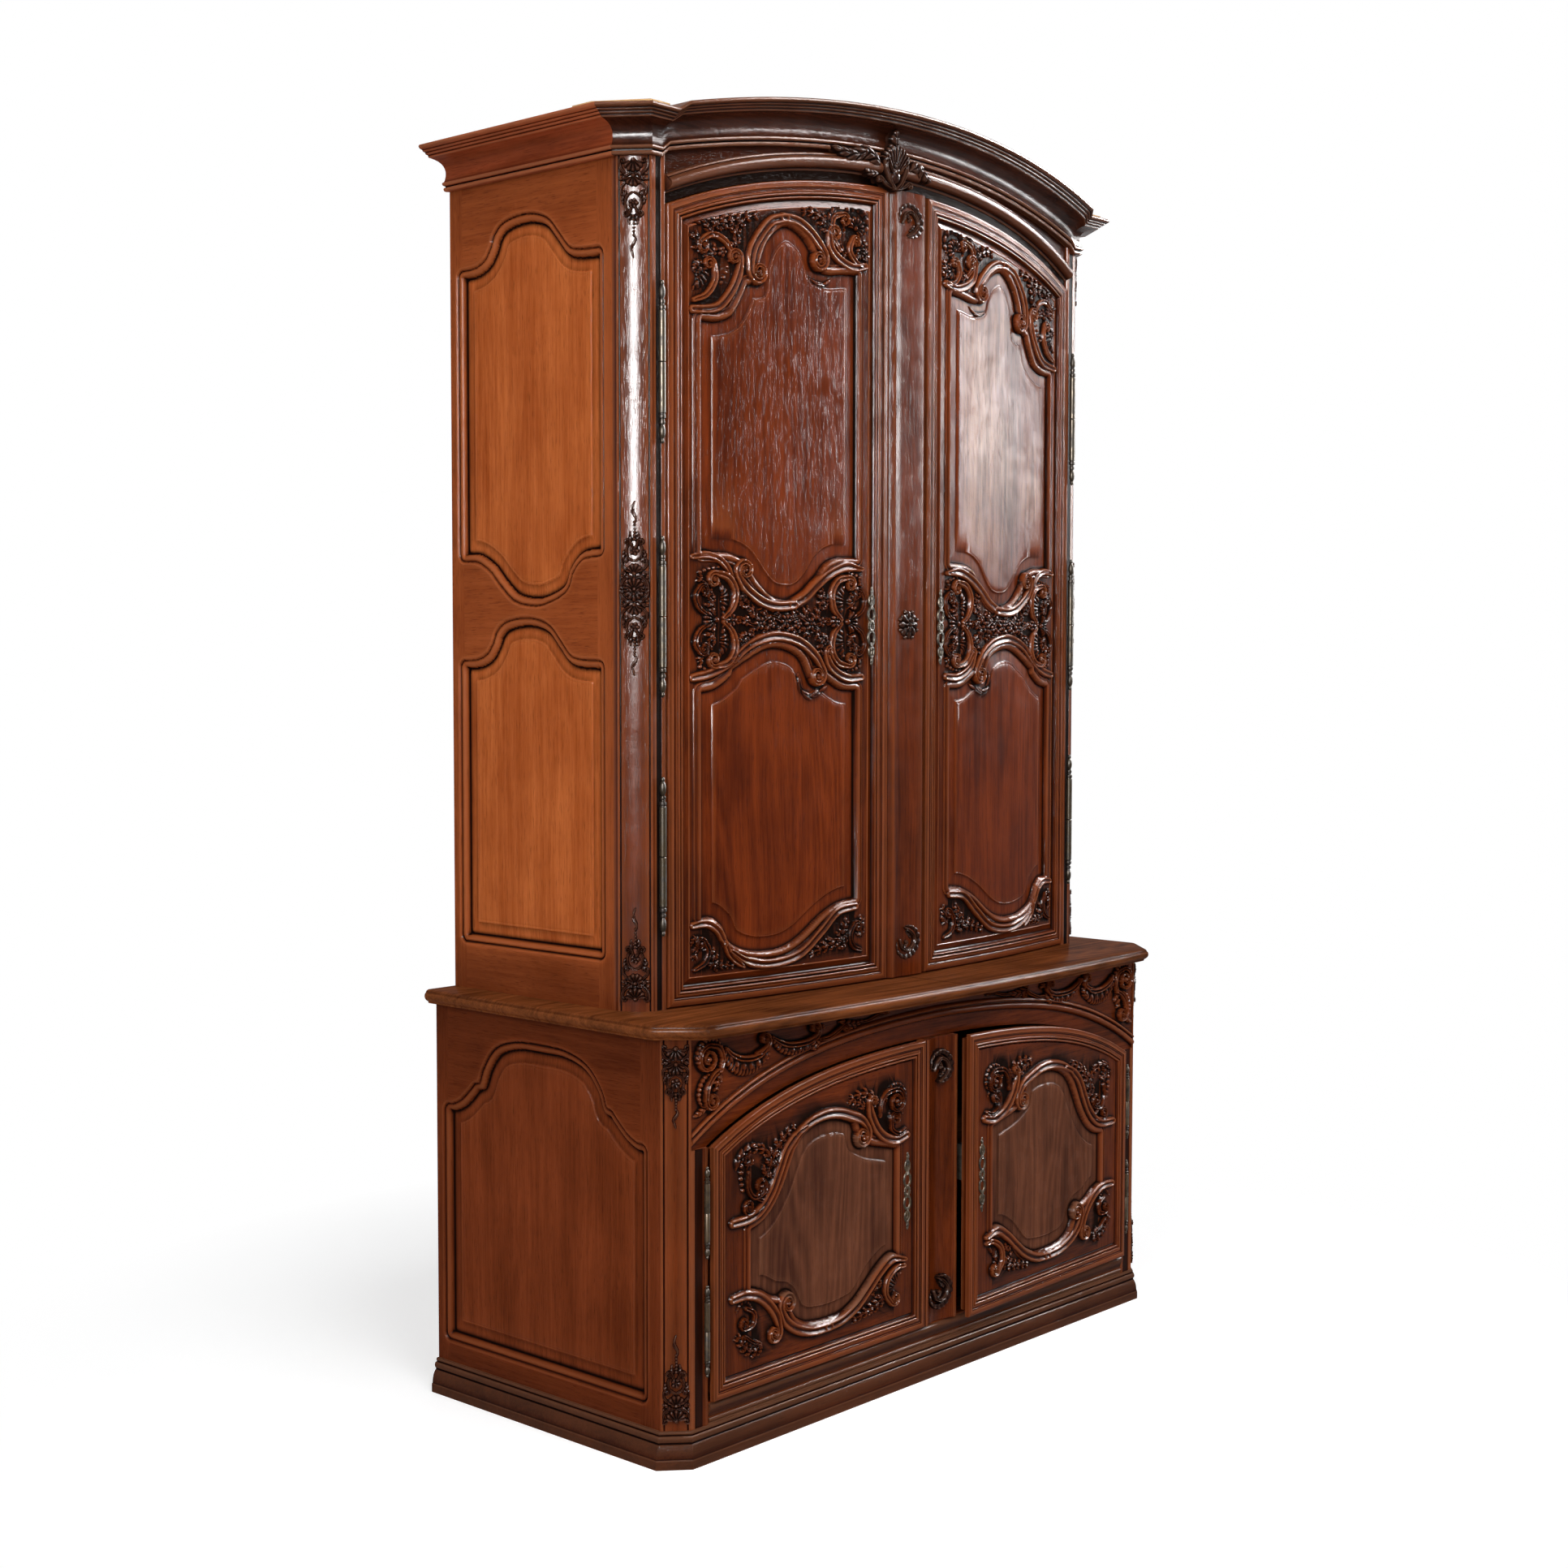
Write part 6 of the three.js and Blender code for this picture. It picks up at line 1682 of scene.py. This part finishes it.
def hinges():
    kinds = [
        ("upper", 3, UPPER_HINGE_X, UPPER_HINGE_Y, 7, 310, steel),
        ("lower", 2, LOWER_HINGE_X, LOWER_HINGE_Y, 5.5, 178, brass),
    ]
    for side_word, sign in (("left", -1), ("right", 1)):
        for case, count, x, y, radius, length, material in kinds:
            prefix = f"{case}_{side_word}"
            for number in range(1, count + 1):
                z = corners(f"{prefix}_hinge_pin_{number}")[0][2]
                hinge_pair(
                    prefix, number, sign * x, y, z, radius, length, material, f"{prefix}_door",
                )


# The carved board over the lower doors
def carve_lower_frieze(r):
    """The leaf work, which rises from the sunk middle of the board."""
    r.ground = -2.5
    eye = np.array([-699, 773])
    fan = [(math.cos(a), math.sin(a)) for a in np.radians([215, 170, 130, 90, 50, 10, -25])]
    r.ruffle(eye + 28 * np.array(fan), 15, 12, 16, 1)
    r.scroll([(-672, 748), (-666, 771), (-676, 793), (-699, 800)], 13, 13, (27, 1.5, 1), 0.8)
    r.scroll([(-672, 750), (-692, 740), (-708, 720), (-712, 696)], 14, 13, (17, 1.25, 1), 0.7)
    r.ruffle([(-694, 746), (-714, 728), (-722, 706), (-718, 684)], 12, 11, 9, -1)
    r.frond([(-668, 744), (-680, 724), (-682, 708)], 13, 10, 3)
    r.leaf([(-706, 688), (-722, 676), (-741, 668)], 13, 9, 4)
    for top, width, ribs in (
        ([(-655, 791), (-640, 777), (-614, 766), (-584, 763), (-560, 768), (-543, 782)], 37, 17),
        ([(-524, 795), (-508, 786), (-486, 777), (-455, 773), (-420, 775), (-396, 786)], 25, 15),
    ):
        top = np.array(top, float)
        r.ruffle(top, width, 12, ribs, -1)
        r.ruffle(top + [4, -4], width * 0.62, 14, 7, -1)
        r.scroll(top + [0, -3], 14, 13, None, 0.5)
        end = top[-1]
        r.scroll([end + [-30, -16], end + [-6, -10], end + [6, 2], end + [4, 14]], 13, 14, (11, 1.1, 1),
                 0.6)
        r.leaf([end + [-14, -34], end + [2, -24], end + [9, -8]], 13, 11, 4)
        r.leaf([end + [8, 6], end + [18, 10], end + [28, 4]], 11, 10, 3)
    r.scroll([(-384, 771), (-358, 772), (-332, 781), (-310, 792)], 9, 11, (9, 1.2, -1), 0.8)
    r.leaf([(-326, 799), (-300, 793), (-272, 789), (-246, 793)], 14, 10, 5)
    r.leaf([(-300, 786), (-280, 784), (-262, 788)], 10, 9, 3)
    r.scroll([(-264, 790), (-232, 791), (-200, 798), (-168, 798)], 7, 8, None, 0.8)


def lower_frieze():
    half = LOWER_EDGE_X - 0.3
    xs = lines(-half, 0.0, [(-half, 0.0)])
    share = np.linspace(0, 1, 140)
    relief = Relief(xs, share, 0.0)
    low = np.maximum(lower_top(relief.x), lower_top(LOWER_STRIP_INNER)) + 1.5
    relief.z = low + relief.z * (COUNTER_UNDER - low)
    above = relief.z - lower_top(relief.x)
    beads = [(-40, -6), (-14, -6), (-12, -1.5), (-10, 2), (-8, 3.6), (-5, 4.6), (-2, 4), (0.5, 1.6),
             (2, -1),
             (4, -1), (5.5, 2.6), (8, 4.4), (10.5, 3.2), (12.5, 0.4), (14, -2.5), (40, -2.5)]
    middle = np.interp(np.abs(relief.x), [0, 600], [53, 47])
    relief.h = np.interp(above - middle, *np.array(beads).T)
    carve_lower_frieze(relief)
    left = relief.solid(
        "lower_front_board_left", flat(LOWER_FRONT), -26, CARCASS, dark_rail, "dark_oak", thin=KEPT_FACES,
        replaces=["lower_frieze"],
    )
    mirrored(left, "lower_front_board_right", CARCASS)


# The room, the lights and the camera
def camera():
    """The camera as fitted to the photo, in metres and radians."""
    data = bpy.data.cameras.new("photo_camera")
    data.sensor_width, data.lens = 36, 50.63
    spot = bpy.data.objects.new("photo_camera", data)
    bpy.context.scene.collection.objects.link(spot)
    place = (-3.6678, -3.1944, 1.533)
    yaw, pitch, roll = 0.73689, -0.05749, 0.00142
    forward = Vector((math.cos(yaw) * math.cos(pitch), math.sin(yaw) * math.cos(pitch), math.sin(pitch)))
    right = Vector((math.sin(yaw), -math.cos(yaw), 0))
    up = right.cross(forward)
    turned_right = right * math.cos(roll) + up * math.sin(roll)
    turned_up = up * math.cos(roll) - right * math.sin(roll)
    axes = Matrix((turned_right, turned_up, -forward)).transposed().to_4x4()
    spot.matrix_world = Matrix.Translation(place) @ axes
    bpy.context.scene.camera = spot


def softbox(name, place, target, width, height, power, sheen=0):
    """A lamp, and one in its place that only shines in reflections, for the sheen of the wax."""
    for word, watts in (("lamp", power), ("sheen", sheen)):
        if not watts:
            continue
        data = bpy.data.lights.new(f"{name}_{word}", "AREA")
        data.shape = "RECTANGLE"
        data.size, data.size_y, data.energy = width, height, watts
        lamp = bpy.data.objects.new(f"{name}_{word}", data)
        bpy.context.scene.collection.objects.link(lamp)
        aim = Vector(target) - Vector(place)
        lamp.matrix_world = Matrix.Translation(place) @ aim.to_track_quat("-Z", "Y").to_matrix().to_4x4()
        lamp.visible_diffuse = word == "lamp"


def studio():
    world = bpy.data.worlds.new("studio")
    bpy.context.scene.world = world
    s = Shader(world)
    rays = s.node("ShaderNodeLightPath").outputs
    bounced = s.math("MAXIMUM", rays["Is Glossy Ray"], rays["Is Transmission Ray"])
    seen = s.math("MAXIMUM", rays["Is Camera Ray"], bounced)
    white = s.node("ShaderNodeBackground", {"Color": (1, 1, 1, 1)}).outputs[0]
    fill = s.node("ShaderNodeBackground", {"Color": (0.95, 0.97, 1, 1), "Strength": 0.3}).outputs[0]
    mixed = s.node("ShaderNodeMixShader", {0: seen, 1: fill, 2: white}).outputs[0]
    s.node("ShaderNodeOutputWorld", {0: mixed})

    s = Shader(bpy.data.materials.new("floor_white"))
    rays = s.node("ShaderNodeLightPath").outputs
    seen = s.math("MAXIMUM", rays["Is Camera Ray"], rays["Is Transmission Ray"])
    seen = s.math("MAXIMUM", seen, rays["Is Glossy Ray"])
    matt = s.node("ShaderNodeBsdfDiffuse", {"Color": (0.7, 0.7, 0.7, 1)}).outputs[0]
    white = s.node("ShaderNodeEmission", {"Color": (1, 1, 1, 1), "Strength": 1.0}).outputs[0]
    glow = s.node("ShaderNodeEmission", {"Color": (1, 1, 1, 1), "Strength": 0.55}).outputs[0]
    shaded = s.node("ShaderNodeAddShader", {0: matt, 1: glow}).outputs[0]
    place = s.node("ShaderNodeTexCoord").outputs["Object"]
    away = s.node("ShaderNodeVectorMath", {0: place}, operation="LENGTH").outputs["Value"]
    far = s.span(away, 1.1, 1.9)
    pale = s.node("ShaderNodeMixShader", {0: far, 1: shaded, 2: white}).outputs[0]
    mixed = s.node("ShaderNodeMixShader", {0: seen, 1: matt, 2: pale}).outputs[0]
    s.node("ShaderNodeOutputMaterial", {0: mixed})
    reach = 9000.0
    points = [(-reach, -reach, 0), (reach, -reach, 0), (reach, reach, 0), (-reach, reach, 0)]
    mesh = bpy.data.meshes.new("floor")
    mesh.from_pydata([Vector(p) * MM for p in points], [], [(0, 1, 2, 3)])
    mesh.materials.append(s.owner)
    floor = bpy.data.objects.new("floor", mesh)
    bpy.context.scene.collection.objects.link(floor)

    softbox("window_right", (4.63, -2.5, 2.75), (0.35, -0.2, 2.0), 1.1, 1.4, 60, 2200)
    softbox("window_left", (-4.6, -2.1, 2.7), (-0.7, -0.2, 1.7), 1.6, 1.8, 80, 4200)
    softbox("ceiling", (-1.4, -3.6, 4.6), (0, 0, 1.3), 3.0, 2.2, 160)
    softbox("skylight", (2.9, -2.4, 5.3), (0, -0.2, 2.2), 3.8, 2.4, 0, 2400)
    softbox("roof_window", (4.9, -1.7, 4.7), (0.4, -0.2, 2.3), 1.6, 1.7, 0, 1800)
    bpy.context.scene.view_settings.view_transform = "Standard"


def keep_materials():
    """The CAD nodes that stay are given the woods and metals of their places."""
    finishes = {
        "lower_floor": rail_oak, "lower_shelf": inner_oak, "upper_floor": inner_oak,
        "upper_shelf": inner_oak, "lower_back": back_wood, "upper_back": back_wood,
        "upper_lock_case": lock_iron, "lower_lock_case": lock_iron,
    }
    for name, material in finishes.items():
        mesh = frame["nodes"][name].data
        mesh.materials.clear()
        mesh.materials.append(material)


plinth()
lower_posts()
bottom_rail_beads()
lower_frieze()
countertop()
upper_posts()
upper_frieze()
cornice()
roof()
sides()
upper_door()
lower_door()
escutcheons()
right_doors()
meeting_strips()
strip_ornaments()
post_ornaments()
crest_shell()
hinges()
keep_materials()
camera()
studio()
